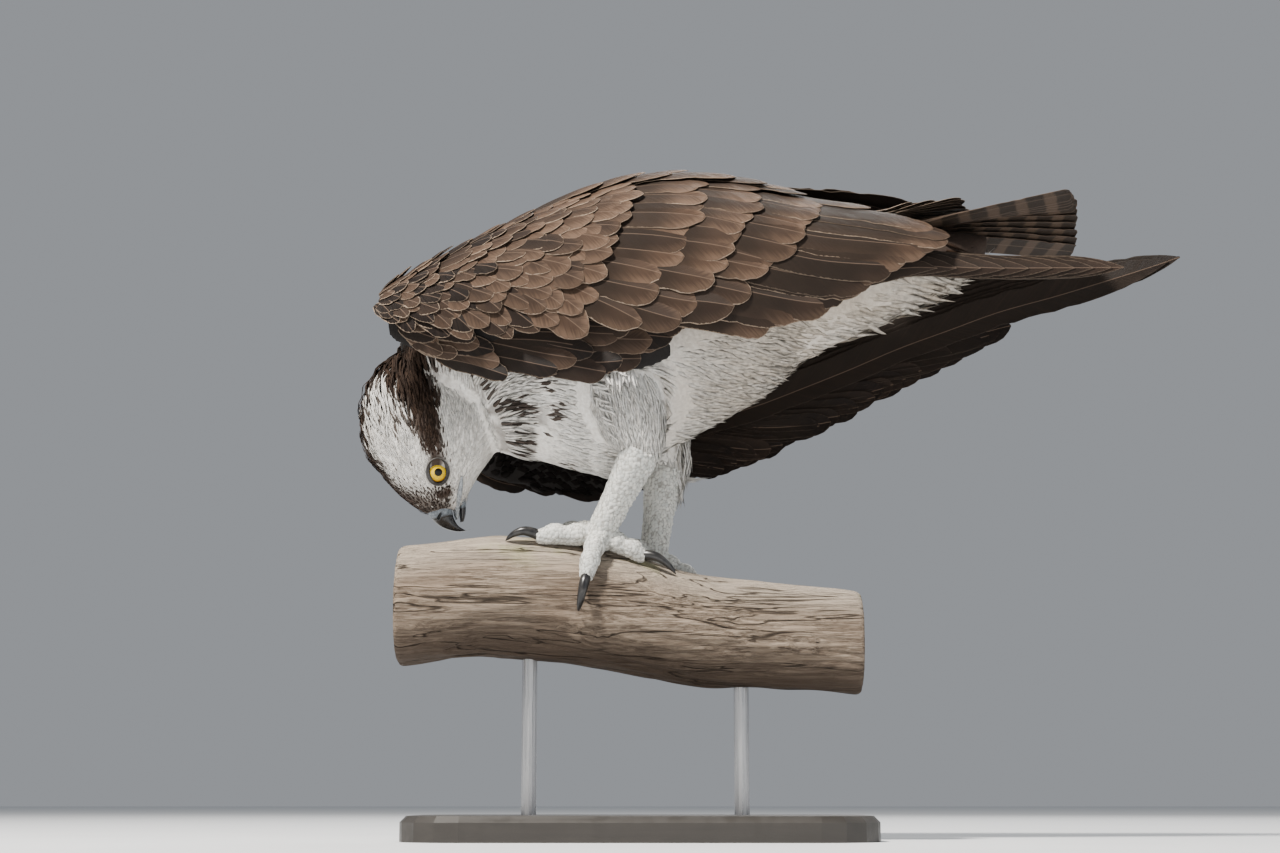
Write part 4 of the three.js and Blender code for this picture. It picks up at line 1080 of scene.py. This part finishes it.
hand_tiers = [
    Tier(6, ((-158, 0.82), (-146, 0.97)), ((-136, 0.85), (-116, 0.98)), 11, 1.6, 0.2, 0.4, cant=0.8),
    Tier(8, ((-150, 0.80), (-128, 0.99)), ((-112, 0.84), (-84, 1.0)), 12, 1.6, 0.15, 0.35, cant=1.0),
    Tier(10, ((-50, 0.80), (-124, 0.94)), ((0, 0.86), (-58, 0.99)), 15, 1.2, 0.12, 0.3, cant=1.2, steps=20),
    Tier(9, ((-10, 0.82), (-90, 0.93)), ((44, 0.88), (-22, 0.99)), 16, 0.8, 0.14, 0.3, cant=1.2, steps=20),
]
# The far wing hangs a little open: its last inner feathers reach further back, its lower edge hangs ragged.
own_tiers = {
    "left": [],
    "right": [
        Tier(4, ((60, 0.02), (66, 0.20)), ((200, 0.02), (212, 0.26)), 25, 1.0, 0.25, 0.3,
             steps=26, loose=0.4),
        Tier(24, ((60, 0.60), (-70, 0.84)), ((262, 0.88), (70, 0.99)), 17, -1.0, 0.1, 0.2,
             cant=1.5, sink=4, steps=20, loose=0.6),
        Tier(15, ((-132, 0.84), (-30, 0.86)), ((-94, 0.97), (70, 0.99)), 20, -1.0, 0.1, 0.25,
             cant=1.0, sink=4, steps=16, loose=0.4),
    ],
}
# The ten long quills of each hand: where their tips end along, and the shares of the arc of the first and last.
primary_tips = {
    "left": {"tips": (195, 208, 224, 240, 256, 272, 287, 300, 312, 320), "arc": (0.82, 0.52), "width": 20},
    "right": {"tips": (230, 248, 266, 284, 302, 320, 336, 352, 374, 366), "arc": (0.30, 0.68), "width": 27},
}


def between_ends(ends, share):
    first, last = np.array(ends, float)
    return first * (1 - share) + last * share


def tier_feathers(tiers):
    """The feathers of tiers, no two alike. Every second tier is set half a feather on, as slates are."""
    feathers = []
    for row, tier in enumerate(tiers):
        loose = tier.loose
        for number in range(tier.how_many):
            s = (number + 0.5 * (row % 2)) / (tier.how_many - 0.5)
            start = between_ends(tier.roots, s)
            end = tier.tips(s).copy() if callable(tier.tips) else between_ends(tier.tips, s)
            start[0] += chance.uniform(-3, 3) * loose
            end[0] += chance.uniform(-6, 5) * loose + tier.bow_out * math.sin(math.pi * s)
            end[1] += chance.uniform(-0.02, 0.02) * loose
            feathers.append(Feather(
                start, end, width=tier.width * chance.uniform(0.86, 1.22),
                lift=tier.lift + chance.uniform(-0.9, 1.1) * loose,
                cant=tier.cant + chance.uniform(-1.2, 0.8) * loose,
                sink=tier.sink, steps=tier.steps, bow=chance.uniform(-0.012, 0.012) * loose,
                rounded=chance.uniform(1.1, 2.0), sharp=chance.uniform(0.5, 0.72),
                tone=float(np.clip(tier.tone + chance.uniform(-0.34, 0.34) - 0.12 * (s - 0.5), 0, 1)),
                fringe=float(np.clip(tier.fringe * chance.uniform(0.35, 1.35), 0, 1)),
                at=((start[0] + 170) / 230, start[1])))
    return feathers


for side, sign in wing_sign.items():
    sheet, low_sheet = wing_sheet(side), wing_sheet(side, hand_drop)
    long_feathers(f"wing_{side}_arm_feathers", sheet, sign, tier_feathers(arm_tiers + own_tiers[side]),
                  quill_brown, [f"wing_{side}_arm"])
    long_feathers(f"wing_{side}_hand_coverts", low_sheet, sign, tier_feathers(hand_tiers), quill_brown,
                  [f"wing_{side}_hand"])
    tips, arc, width = primary_tips[side].values()
    primaries = []
    for k, tip in enumerate(tips):
        s = k / (len(tips) - 1)
        primaries.append(Feather(
            (10 - 76 * s, 0.83 + 0.10 * s), (tip, arc[0] + (arc[1] - arc[0]) * s), width, lift=-0.5 - 1.0 * k,
            sink=2 + 0.5 * k, steps=44, rounded=5.0, sharp=0.85, arch=0.03,
            tone=0.04 + 0.08 * chance.random(), fringe=0.12, lead=0.75, at=(0.5, s)))
    long_feathers(f"wing_{side}_primaries", low_sheet, sign, primaries, quill_brown)

# The tail: twelve broad quills fanned over a slightly rolled sheet, barred below.
# Soft coverts lie in three rows over their roots.
tail_curve = through([
    # along, half width, height of the middle, how far the sides are rolled down
    (168, 15, 414, 1), (200, 25, 415, 4), (240, 35, 417, 6.5), (300, 48, 418, 10.5),
])
quill_count = 12


def tail_sheet(x, v):
    half, z, roll = tail_curve(x)
    return np.stack([x + 0 * v, v * half, z - roll * v - 2 * v * v], -1)


tail_quills = []
for k in range(quill_count):
    from_middle = k - (quill_count - 1) / 2
    v = from_middle / (quill_count / 2)
    rank = math.floor(abs(from_middle)) + (0.5 if v > 0 else 0)
    tail_quills.append(Feather(
        (178, v * 0.7), (297 - 0.6 * rank + 9 * v + chance.uniform(-1.5, 1.5), v * 0.98), width=21,
        lift=1.6 - 1.3 * rank, sink=4.5 + 1.3 * rank, steps=30, rounded=0.45, sharp=0.35, arch=0.03,
        at=(k / (quill_count - 1), 0.5)))
quill_tail = Finish("tail_feathers", roughness=0.6, Specular_IOR_Level=0.15)
lie = quill_tail.numbers("lie")
off_shaft = quill_tail.unsigned(lie["Y"])
barbs = quill_tail.wave(quill_tail.minus(lie["X"], quill_tail.times(off_shaft, 1.2)), 6.0)
bars = quill_tail.plus(quill_tail.wave(lie["X"], 0.33), quill_tail.noise(120, 3))
quill_tail.colour(quill_tail.mottle(bars, (0.026, 0.018, 0.013), (0.080, 0.054, 0.038), 0.5, 1.1))
quill_tail.tint(quill_tail.between(off_shaft, 0.2, 0.5, 0.4, 0), (0.20, 0.14, 0.10))
quill_tail.tint(quill_tail.between(lie["Z"], 0.1, 1.0, 0.5, 0), (0.16, 0.11, 0.08))
quill_tail.tint(quill_tail.between(barbs, -1, 1, 0, 0.2), (0.02, 0.014, 0.01))
quill_tail.bump(barbs, 0.0002, 0.5)
long_feathers("tail_quills", tail_sheet, 1, tail_quills, quill_tail, ["tail"])
tail_coverts = []
for row, (reach, count) in enumerate(((222, 9), (206, 8), (192, 7))):
    for k in range(count):
        v = (k - (count - 1) / 2) / (count / 2)
        tail_coverts.append(Feather(
            (156 - 8 * row, v * 0.6), (reach - 10 * v * v + chance.uniform(-3, 3), v * 0.92), width=15,
            lift=3.2 + 1.4 * row, sink=1.0, steps=18, tone=0.45 + chance.uniform(-0.2, 0.2), fringe=0.6,
            at=(k / count, 0.3 * row + 0.1)))
long_feathers("tail_coverts", tail_sheet, 1, tail_coverts, quill_brown)

# The eyes: glass balls, each with a yellow iris, a round black pupil and a slightly bulging front.
# They are set in the sides of the head, looking out and a little forward.
eye_measures = {"ahead": 1.6, "up": 1.0, "out": 18.5, "radius": 8.7, "bulge": 0.7}
pupil_edge, iris_shade, iris_edge = (2.5, 2.75), (4.6, 6.1), (6.1, 6.6)  # distances from the eye's axis
eye_turn = math.radians(14)


def eye_frame(sign):
    """Middle of an eye, its outward axis, and the two directions across it."""
    middle = in_head(eye_measures["ahead"], eye_measures["up"], sign * eye_measures["out"])
    axis = sign * side_way * math.cos(eye_turn) + ahead_way * math.sin(eye_turn)
    along_head = ahead_way * math.cos(eye_turn) - sign * side_way * math.sin(eye_turn)
    return middle, axis, along_head, crown_way


eye_glass = Finish("eye_glass", roughness=0.08, Coat_Weight=0.25, Coat_Roughness=0.02, Specular_IOR_Level=0.1)
lie = eye_glass.numbers("lie")
ray_place = [eye_glass.times(lie[axis], pace) for axis, pace in (("Y", 9.0), ("Z", 9.0), ("X", 0.35))]
rays = eye_glass.noise(2.2, 5, eye_glass.joined(*ray_place))
eye_glass.colour(eye_glass.mottle(rays, (0.62, 0.35, 0.004), (0.86, 0.61, 0.016)))
eye_glass.tint(eye_glass.between(lie["X"], *iris_shade), (0.42, 0.20, 0.01))
eye_glass.tint(eye_glass.between(lie["X"], *iris_edge), (0.012, 0.009, 0.008))
pupil = eye_glass.between(lie["X"], *pupil_edge, 1, 0)
eye_glass.colour(eye_glass.blend(pupil, eye_glass.tone, (0.002, 0.002, 0.002)))
eye_glass.bump(rays, 0.00006, 0.3)
for side, sign in wing_sign.items():
    middle, axis, along_head, over_head = eye_frame(sign)
    theta = np.linspace(0, math.pi, 49)[:, None]
    phi = around(64)[None]
    swell = eye_measures["bulge"] * (1 - step(theta, 0.25, 0.85))
    reach = (eye_measures["radius"] + swell)[..., None]
    across_eye = np.cos(phi)[..., None] * along_head + np.sin(phi)[..., None] * over_head
    globe = middle + reach * (np.cos(theta)[..., None] * axis + np.sin(theta)[..., None] * across_eye)
    ball_points, ball_faces = closed(globe[1:-1])
    ball_points[-2], ball_points[-1] = globe[0, 0], globe[-1, 0]
    from_middle = ball_points - middle
    off_axis = np.linalg.norm(from_middle - (from_middle @ axis)[:, None] * axis, axis=1)
    off_axis = np.where(from_middle @ axis < 0, 9.0, off_axis)
    unit = from_middle / np.linalg.norm(from_middle, axis=1)[:, None]
    piece(f"eyeball_{side}", ball_points, ball_faces, eye_glass, "eye", [f"eye_{side}"],
          0.5 + 0.48 * np.stack([unit @ along_head, unit @ over_head], -1) / 2,
          lie=np.stack([off_axis, unit @ along_head, unit @ over_head], -1))

# The lids: a ring of bare dark skin round each eye, left open as a slit that is longer than high.
# It is rolled over at its inner edge, stands a little off the glass and lies on the head outside.
opening = (7.1, 5.1)  # half length along the head and half height of the slit
lid_reach = [9.6, 7.9]
lid_gap, lid_thickness, lid_roll = 0.35, 2.2, 0.7
lid_steps, lid_sides = 15, 72
lid_skin = Finish("lid_skin", roughness=0.5)
lid_noise = lid_skin.noise(700, 4)
lid_skin.colour(lid_skin.mottle(lid_noise, (0.010, 0.009, 0.009), (0.035, 0.032, 0.031)))
lid_skin.tint(lid_skin.between(lid_skin.numbers("lie")["X"], 0.78, 1.0, 0, 0.7), (0.16, 0.15, 0.14))
lid_skin.bump(lid_noise, 0.0003, 0.6)


def above_eye(away):
    """How far out the lid's inner side lies, at a distance from the eye's axis."""
    return np.sqrt(eye_measures["radius"]**2 - away**2) + lid_gap


for side, sign in wing_sign.items():
    middle, axis, along_head, over_head = eye_frame(sign)
    turn_round = around(lid_sides)
    slit = np.stack([np.cos(turn_round) * opening[0], np.sin(turn_round) * opening[1]], -1)
    slit_reach = np.linalg.norm(slit, axis=1)
    lid_rows = []
    for share in np.linspace(0, 1, lid_steps):
        flat = slit * (1 - share) + slit / slit_reach[:, None] * lid_reach * share
        on_eye = above_eye(np.minimum(np.linalg.norm(flat, axis=1), eye_measures["radius"] - 0.01))
        place = middle + flat[:, :1] * along_head + flat[:, 1:] * over_head
        a, u, s = head_measures(place).T
        crown, throat, half = head_curve(a)
        high = np.clip(level(u, crown, throat), -0.98, 0.98)
        on_head = ((half - 1.6) * np.sqrt(1 - high**2) - eye_measures["out"]) / math.cos(eye_turn)
        on_head = on_head + flat[:, 0] * math.sin(eye_turn)
        lip = above_eye(slit_reach)
        roll = lid_roll * math.sin(math.pi * min(1, share * 1.5)) ** 1.4
        height = lip + (on_head - lip) * step(share, 0.1, 1.0) + roll
        if share < 0.5:
            height = np.maximum(height, on_eye)
        lid_rows.append(place + height[:, None] * axis)
    under_rows = [row - axis * lid_thickness for row in lid_rows[::-1]]
    lid_points = np.array(lid_rows + under_rows).reshape(-1, 3)
    index = numbered_grid(2 * lid_steps, lid_sides)
    outward = np.linspace(0, 1, lid_steps)
    share = np.repeat(np.concatenate([outward, outward[::-1]]), lid_sides)
    local = (lid_points - middle) @ np.stack([along_head, over_head], -1)
    piece(f"eyelids_{side}", lid_points, ring_faces(np.vstack([index, index[:1]])), lid_skin, "scaly_skin",
          unwrap=0.5 + local / 26, lie=share[:, None] * [1, 0, 0])

# The bill: black horn, hooked, over a bare blue-grey cere with a slit nostril on each side. The lower half is
# short and pale at its root, and a fold of pale skin runs back from the corner of the mouth.
bill_upper_rows = [
    # ahead of the eyes, up, half height, half width
    (20, 1, 9.4, 9.0), (25, 0.9, 8.8, 8.4), (29, 0.6, 8, 7.6), (34, -1, 6.8, 6), (38, -3.6, 5.2, 4.6),
    (41, -7.4, 3.7, 3.3), (42.6, -11, 2.3, 2.0), (42.4, -14.8, 0.8, 0.6),
]
bill_lower_rows = [
    (12, -13.6, 4.4, 8.2), (20, -13.4, 3.9, 7.2), (27, -12.5, 3.2, 5.8), (32, -11.7, 2.6, 4.4),
    (36.4, -10.6, 1.5, 2.4),
]
nostril = {"ahead": 29.6, "up": 3.4, "long": 2.5, "wide": 0.95, "deep": 2.0}
cere_edge = (30.2, 32.2)


def bill_rings(rows, steps, sides, lower=False):
    """One half of the bill in head measures: ahead, up and out for each point of its rings."""
    rows = np.array(rows, float)
    numbered = through([(number, *row) for number, row in enumerate(rows)])
    a, u, tall, half = numbered(np.linspace(0, len(rows) - 1, steps)[:, None])
    k = around(sides)[None]
    ridge = np.cos(k)
    flat = np.where(ridge < 0, 0.78, 1.0) if not lower else np.where(ridge > 0, 0.6, 1.0)
    rise = tall * ridge * flat
    out = half * np.sign(np.sin(k)) * np.abs(np.sin(k)) ** 0.86 * (1 - 0.16 * np.maximum(ridge, 0))
    return a + 0 * k, u + rise, out


horn = Finish("bill_horn", roughness=0.24)
lie = horn.numbers("lie")
horn_lines = horn.noise(60, 5, horn.place((3.0, 3.0, 0.5)))
horn_tone = horn.mottle(horn_lines, (0.007, 0.007, 0.008), (0.030, 0.030, 0.033), 0.35, 0.7)
cere_spots = horn.noise(500, 4)
cere_tone = horn.mottle(cere_spots, (0.10, 0.118, 0.14), (0.22, 0.25, 0.285), 0.35, 0.65)
from_cere = horn.plus(lie["X"], horn.times(cere_spots, 1.6))
horn.colour(horn.blend(horn.between(from_cere, *cere_edge, 1, 0), horn_tone, cere_tone))
# The nostrils' hollows are painted near black: painted shade inside the openings.
horn.tint(lie["Z"], (0.004, 0.004, 0.004))
horn.rough(horn.between(from_cere, *cere_edge, 0.55, 0.2))
horn.bump(horn_lines, 0.0002, 0.4)
horn.bump(cere_spots, 0.00015, 0.4)


def bill_half(name, node, rings, along_bill, out, hollow, flat_along):
    """One half of the bill. It keeps how far along each point is for the cere, and how deep in a nostril."""
    points, faces = closed(rings)
    marks = np.stack([along_bill, 0 * hollow, hollow], -1)
    ends = marks[[0, -1], 0] * [1, 0, 0]
    flat = np.stack([0.1 + 0.8 * flat_along, 0.5 + out / 24], -1).reshape(-1, 2)
    piece(name, points, faces, horn, "horn", [node], np.concatenate([flat, [[0.1, 0.5], [0.9, 0.5]]]),
          lie=np.concatenate([marks.reshape(-1, 3), ends]))


a, u, out = bill_rings(bill_upper_rows, 90, 72)
ahead, up = a - nostril["ahead"], u - nostril["up"]
spot = np.hypot((ahead * 0.8 + up * 0.6) / nostril["long"], (up * 0.8 - ahead * 0.6) / nostril["wide"])
on_side = np.abs(out) > 3
hollow = (1 - step(spot, 0.55, 1.25)) * on_side
rim = np.exp(-(((spot - 1.5) / 0.4) ** 2)) * on_side
swell = 0.55 * (1 - step(a, 30.0, 31.6)) * step(a, 20, 25)
grown = out + np.sign(out) * (swell + 0.35 * rim - nostril["deep"] * hollow)
rings = in_head(a, u + swell * np.sign(u) * 0.5, grown)
bill_half("bill_upper_half", "bill_upper", rings, a, out, hollow, (a - 20) / 23)
a, u, out = bill_rings(bill_lower_rows, 50, 48, lower=True)
bill_half("bill_lower_half", "bill_lower", in_head(a, u, out), a + 3.0, out, 0 * a, (a - 12) / 25)


def tube(path, radii, sides, steps):
    """Rings of a round tube drawn smoothly through the path's points."""
    path = np.array(path, float)
    numbered = through([(number, *point, radius) for number, (point, radius) in enumerate(zip(path, radii))])
    x, y, z, radius = numbered(np.linspace(0, len(path) - 1, steps))
    line = np.stack([x, y, z], -1)
    ahead = np.gradient(line, axis=0)
    ahead /= np.linalg.norm(ahead, axis=1)[:, None]
    side = np.cross([0, 0, 1.0], ahead)
    upright = np.linalg.norm(side, axis=1) < 0.05
    side[upright] = (0, 1, 0)
    side /= np.linalg.norm(side, axis=1)[:, None]
    up = np.cross(ahead, side)
    k = around(sides)[None, :, None]
    return line[:, None] + radius[:, None, None] * (np.cos(k) * side[:, None] + np.sin(k) * up[:, None])


gape_skin = Finish("gape_skin", roughness=0.45)
gape_noise = gape_skin.noise(600, 4)
gape_skin.colour(gape_skin.mottle(gape_noise, (0.17, 0.19, 0.21), (0.40, 0.43, 0.46)))
gape_skin.bump(gape_noise, 0.0002, 0.5)
bill_from = 24
gape_line = [(9, -14.5), (14, -13.0), (20, -11.2), (26, -9.4), (31, -8.4), (34, -8.0)]
for side, sign in wing_sign.items():
    fold = []
    for a, u in gape_line:
        crown, throat, half = head_curve(min(a, head_rows[-1][0]))
        on_cheek = half * math.sqrt(max(0.05, 1 - level(u, crown, throat)**2))
        on_bill = 7.9 - 0.42 * (a - bill_from)
        fold.append(in_head(a, u, sign * ((on_cheek if a < bill_from else on_bill) - 0.5)))
    fold_points, fold_faces = closed(tube(fold, [0.5, 1.3, 1.6, 1.5, 1.2, 0.4], 14, 50))
    local = head_measures(fold_points)
    piece(f"mouth_corner_{side}", fold_points, fold_faces, gape_skin, "scaly_skin",
          unwrap=np.stack([0.1 + 0.8 * (local[:, 0] - 8) / 28, 0.5 + (local[:, 1] + 11) / 30], -1))

# The feet: bare pale skin covered in rough pebbly scales, each foot and shank one skin, pressed on the bark.
# The scales stand up in points down the back of the shank and along the toes.
tarsus_radii = (13, 12, 10, 9.5)
ankle_height, sole_radius, heel_height = 12, 10.5, 250
toes = {
    # along the perch, round it, length, girth
    "middle": (-1, 0.1, 42, 6.6), "inner": (-0.8, None, 35, 6.4), "outer": (-0.25, 1, 36, 6.2),
    "hind": (1, 0.12, 30, 6.2),
}
knuckles = [
    # share of the toe, height over the bark, share of its girth
    (0, 9, 1.05), (0.2, 9.2, 1.02), (0.36, 9.0, 1.16), (0.52, 7.4, 0.98), (0.7, 7.6, 1.08), (0.86, 5.4, 0.86),
    (1, 4.6, 0.66),
]


def over_perch(x, arc, height):
    """A point at a height over the bark, arc being the distance round from the crest towards the right."""
    middle, radius = perch_curve(x)
    turn = arc / radius
    reach = bark_round(x, turn, radius) + height
    return np.stack([x + 0 * turn, reach * np.sin(turn), middle + reach * np.cos(turn)], -1)


def toe_point(leg, toe, distance, height):
    """A point at a distance along a toe from the middle of the foot."""
    along_perch, round_perch = toe[0], leg["inner"] if toe[1] is None else toe[1]
    scale = distance / math.hypot(along_perch, round_perch)
    x, arc = leg["foot"]
    return over_perch(x + along_perch * scale, arc + leg["sign"] * round_perch * scale, height)


def pebbles(points, size, seed):
    """Scales of about that size: how far points are from their middle and edge, and each one's own number."""
    scaled = points / size
    cell = np.floor(scaled).astype(np.int64)
    nearest = np.full(len(points), 9.0)
    second = np.full(len(points), 9.0)
    own = np.zeros(len(points))
    for offset in np.ndindex(3, 3, 3):
        key = cell + np.array(offset) - 1
        number = cell_number(key, seed)
        spots = []
        for _ in range(3):
            number, value = stirred(number)
            spots.append(0.5 + 0.72 * (value / 65535 - 0.5))
        away = np.linalg.norm(key + np.stack(spots, -1) - scaled, axis=1)
        second = np.where(away < nearest, nearest, np.minimum(second, away))
        own = np.where(away < nearest, spots[0], own)
        nearest = np.minimum(nearest, away)
    return nearest, second - nearest, own


foot_skin = Finish("scaly_skin", roughness=0.62)
lie = foot_skin.numbers("lie")
foot_noise = foot_skin.noise(500, 5)
foot_skin.colour(foot_skin.blend(lie["Z"], (0.50, 0.52, 0.50), (0.74, 0.73, 0.68)))
foot_skin.tint(foot_skin.between(lie["Y"], 0.0, 0.24, 0.85, 0), (0.21, 0.20, 0.18))
foot_skin.tint(foot_skin.between(foot_noise, 0.42, 0.72, 0, 0.35), (0.44, 0.42, 0.37))
foot_skin.bump(foot_noise, 0.0003, 0.5)
theta, phi = np.linspace(0.1, 3.04, 20)[:, None], around(24)[None]
unit_ball = np.stack([np.sin(theta) * np.cos(phi), np.sin(theta) * np.sin(phi), np.cos(theta) + 0 * phi], -1)
for side, leg in legs.items():
    ankle = over_perch(np.array(leg["foot"][0], float), np.array(leg["foot"][1], float), ankle_height)
    heel = np.array([1.0 + leg["shift"], leg["sign"] * thigh_out, heel_height + leg["lift"]])
    path = [heel + (ankle - heel) * share for share in (0, 0.25, 0.6, 1)]
    shells = [closed(tube(path, tarsus_radii, 28, 60)), closed(ankle - [0, 0, 2] + sole_radius * unit_ball)]
    for toe in toes.values():
        path = [toe_point(leg, toe, share * toe[2], height) for share, height, girth in knuckles]
        shells.append(closed(tube(path, [girth * toe[3] for share, height, girth in knuckles], 22, 60)))
    foot_points, foot_triangles = one_skin(shells, voxel=0.8, smoothing=3)
    foot_normals = normals_of(foot_points, foot_triangles)[1]
    near, edge, own = pebbles(foot_points, size=2.5, seed=31)
    spiky = step(foot_normals[:, 0], 0.1, 0.8) * step(foot_points[:, 2], 190, 205)
    height = (0.55 + 0.75 * spiky) * (1 - np.clip(near / 0.62, 0, 1) ** 1.6) - 0.25
    foot_points = foot_points + foot_normals * height[:, None]
    middle, radius = perch_curve(foot_points[:, 0])
    from_middle = np.hypot(foot_points[:, 1], foot_points[:, 2] - middle)
    lifted = np.maximum(from_middle, radius - 0.8) / from_middle
    foot_points[:, 1] *= lifted
    foot_points[:, 2] = middle + (foot_points[:, 2] - middle) * lifted
    spread_out = (foot_points - foot_points.min(0)) / np.ptp(foot_points, axis=0).max()
    flat = np.stack([spread_out[:, 0] * 0.5 + np.where(foot_normals[:, 1] > 0, 0.5, 0), spread_out[:, 2]], -1)
    piece(f"foot_and_shank_{side}", foot_points, foot_triangles, foot_skin, "scaly_skin",
          [f"foot_{side}", f"tarsus_{side}"], 0.02 + 0.94 * flat, lie=np.stack([near, edge, own], -1))

# The claws: curved black horn, round in section and sharp, one at the end of each toe.
# Each starts inside the toe, arches up and over, and comes down to its point on the bark.
hook = [
    # beyond the toe's end, height over the bark, radius
    (-4, 4.6, 3.5), (2, 7.2, 3.4), (8, 8.0, 2.9), (13.5, 6.0, 2.2), (17.5, 3.0, 1.3), (19.6, 0.6, 0.3),
]
claw_horn = Finish("claw_horn", roughness=0.3)
claw_lines = claw_horn.noise(220, 4)
claw_horn.colour(claw_horn.mottle(claw_lines, (0.008, 0.008, 0.009), (0.034, 0.032, 0.031)))
claw_horn.bump(claw_lines, 0.0002, 0.35)
for side, leg in legs.items():
    points, faces = [], []
    for toe in toes.values():
        path = [toe_point(leg, toe, toe[2] + beyond, height) for beyond, height, radius in hook]
        claw_points, claw_faces = closed(tube(path, [radius for beyond, height, radius in hook], 16, 34))
        faces += [tuple(sum(map(len, points)) + index for index in face) for face in claw_faces]
        points.append(claw_points)
    points = np.concatenate(points)
    flat = (points - points.min(0)) / np.ptp(points, axis=0).max()
    piece(f"claws_{side}", points, faces, claw_horn, "horn", [f"claw_{side}_{name}" for name in toes],
          0.02 + 0.94 * flat[:, :2])
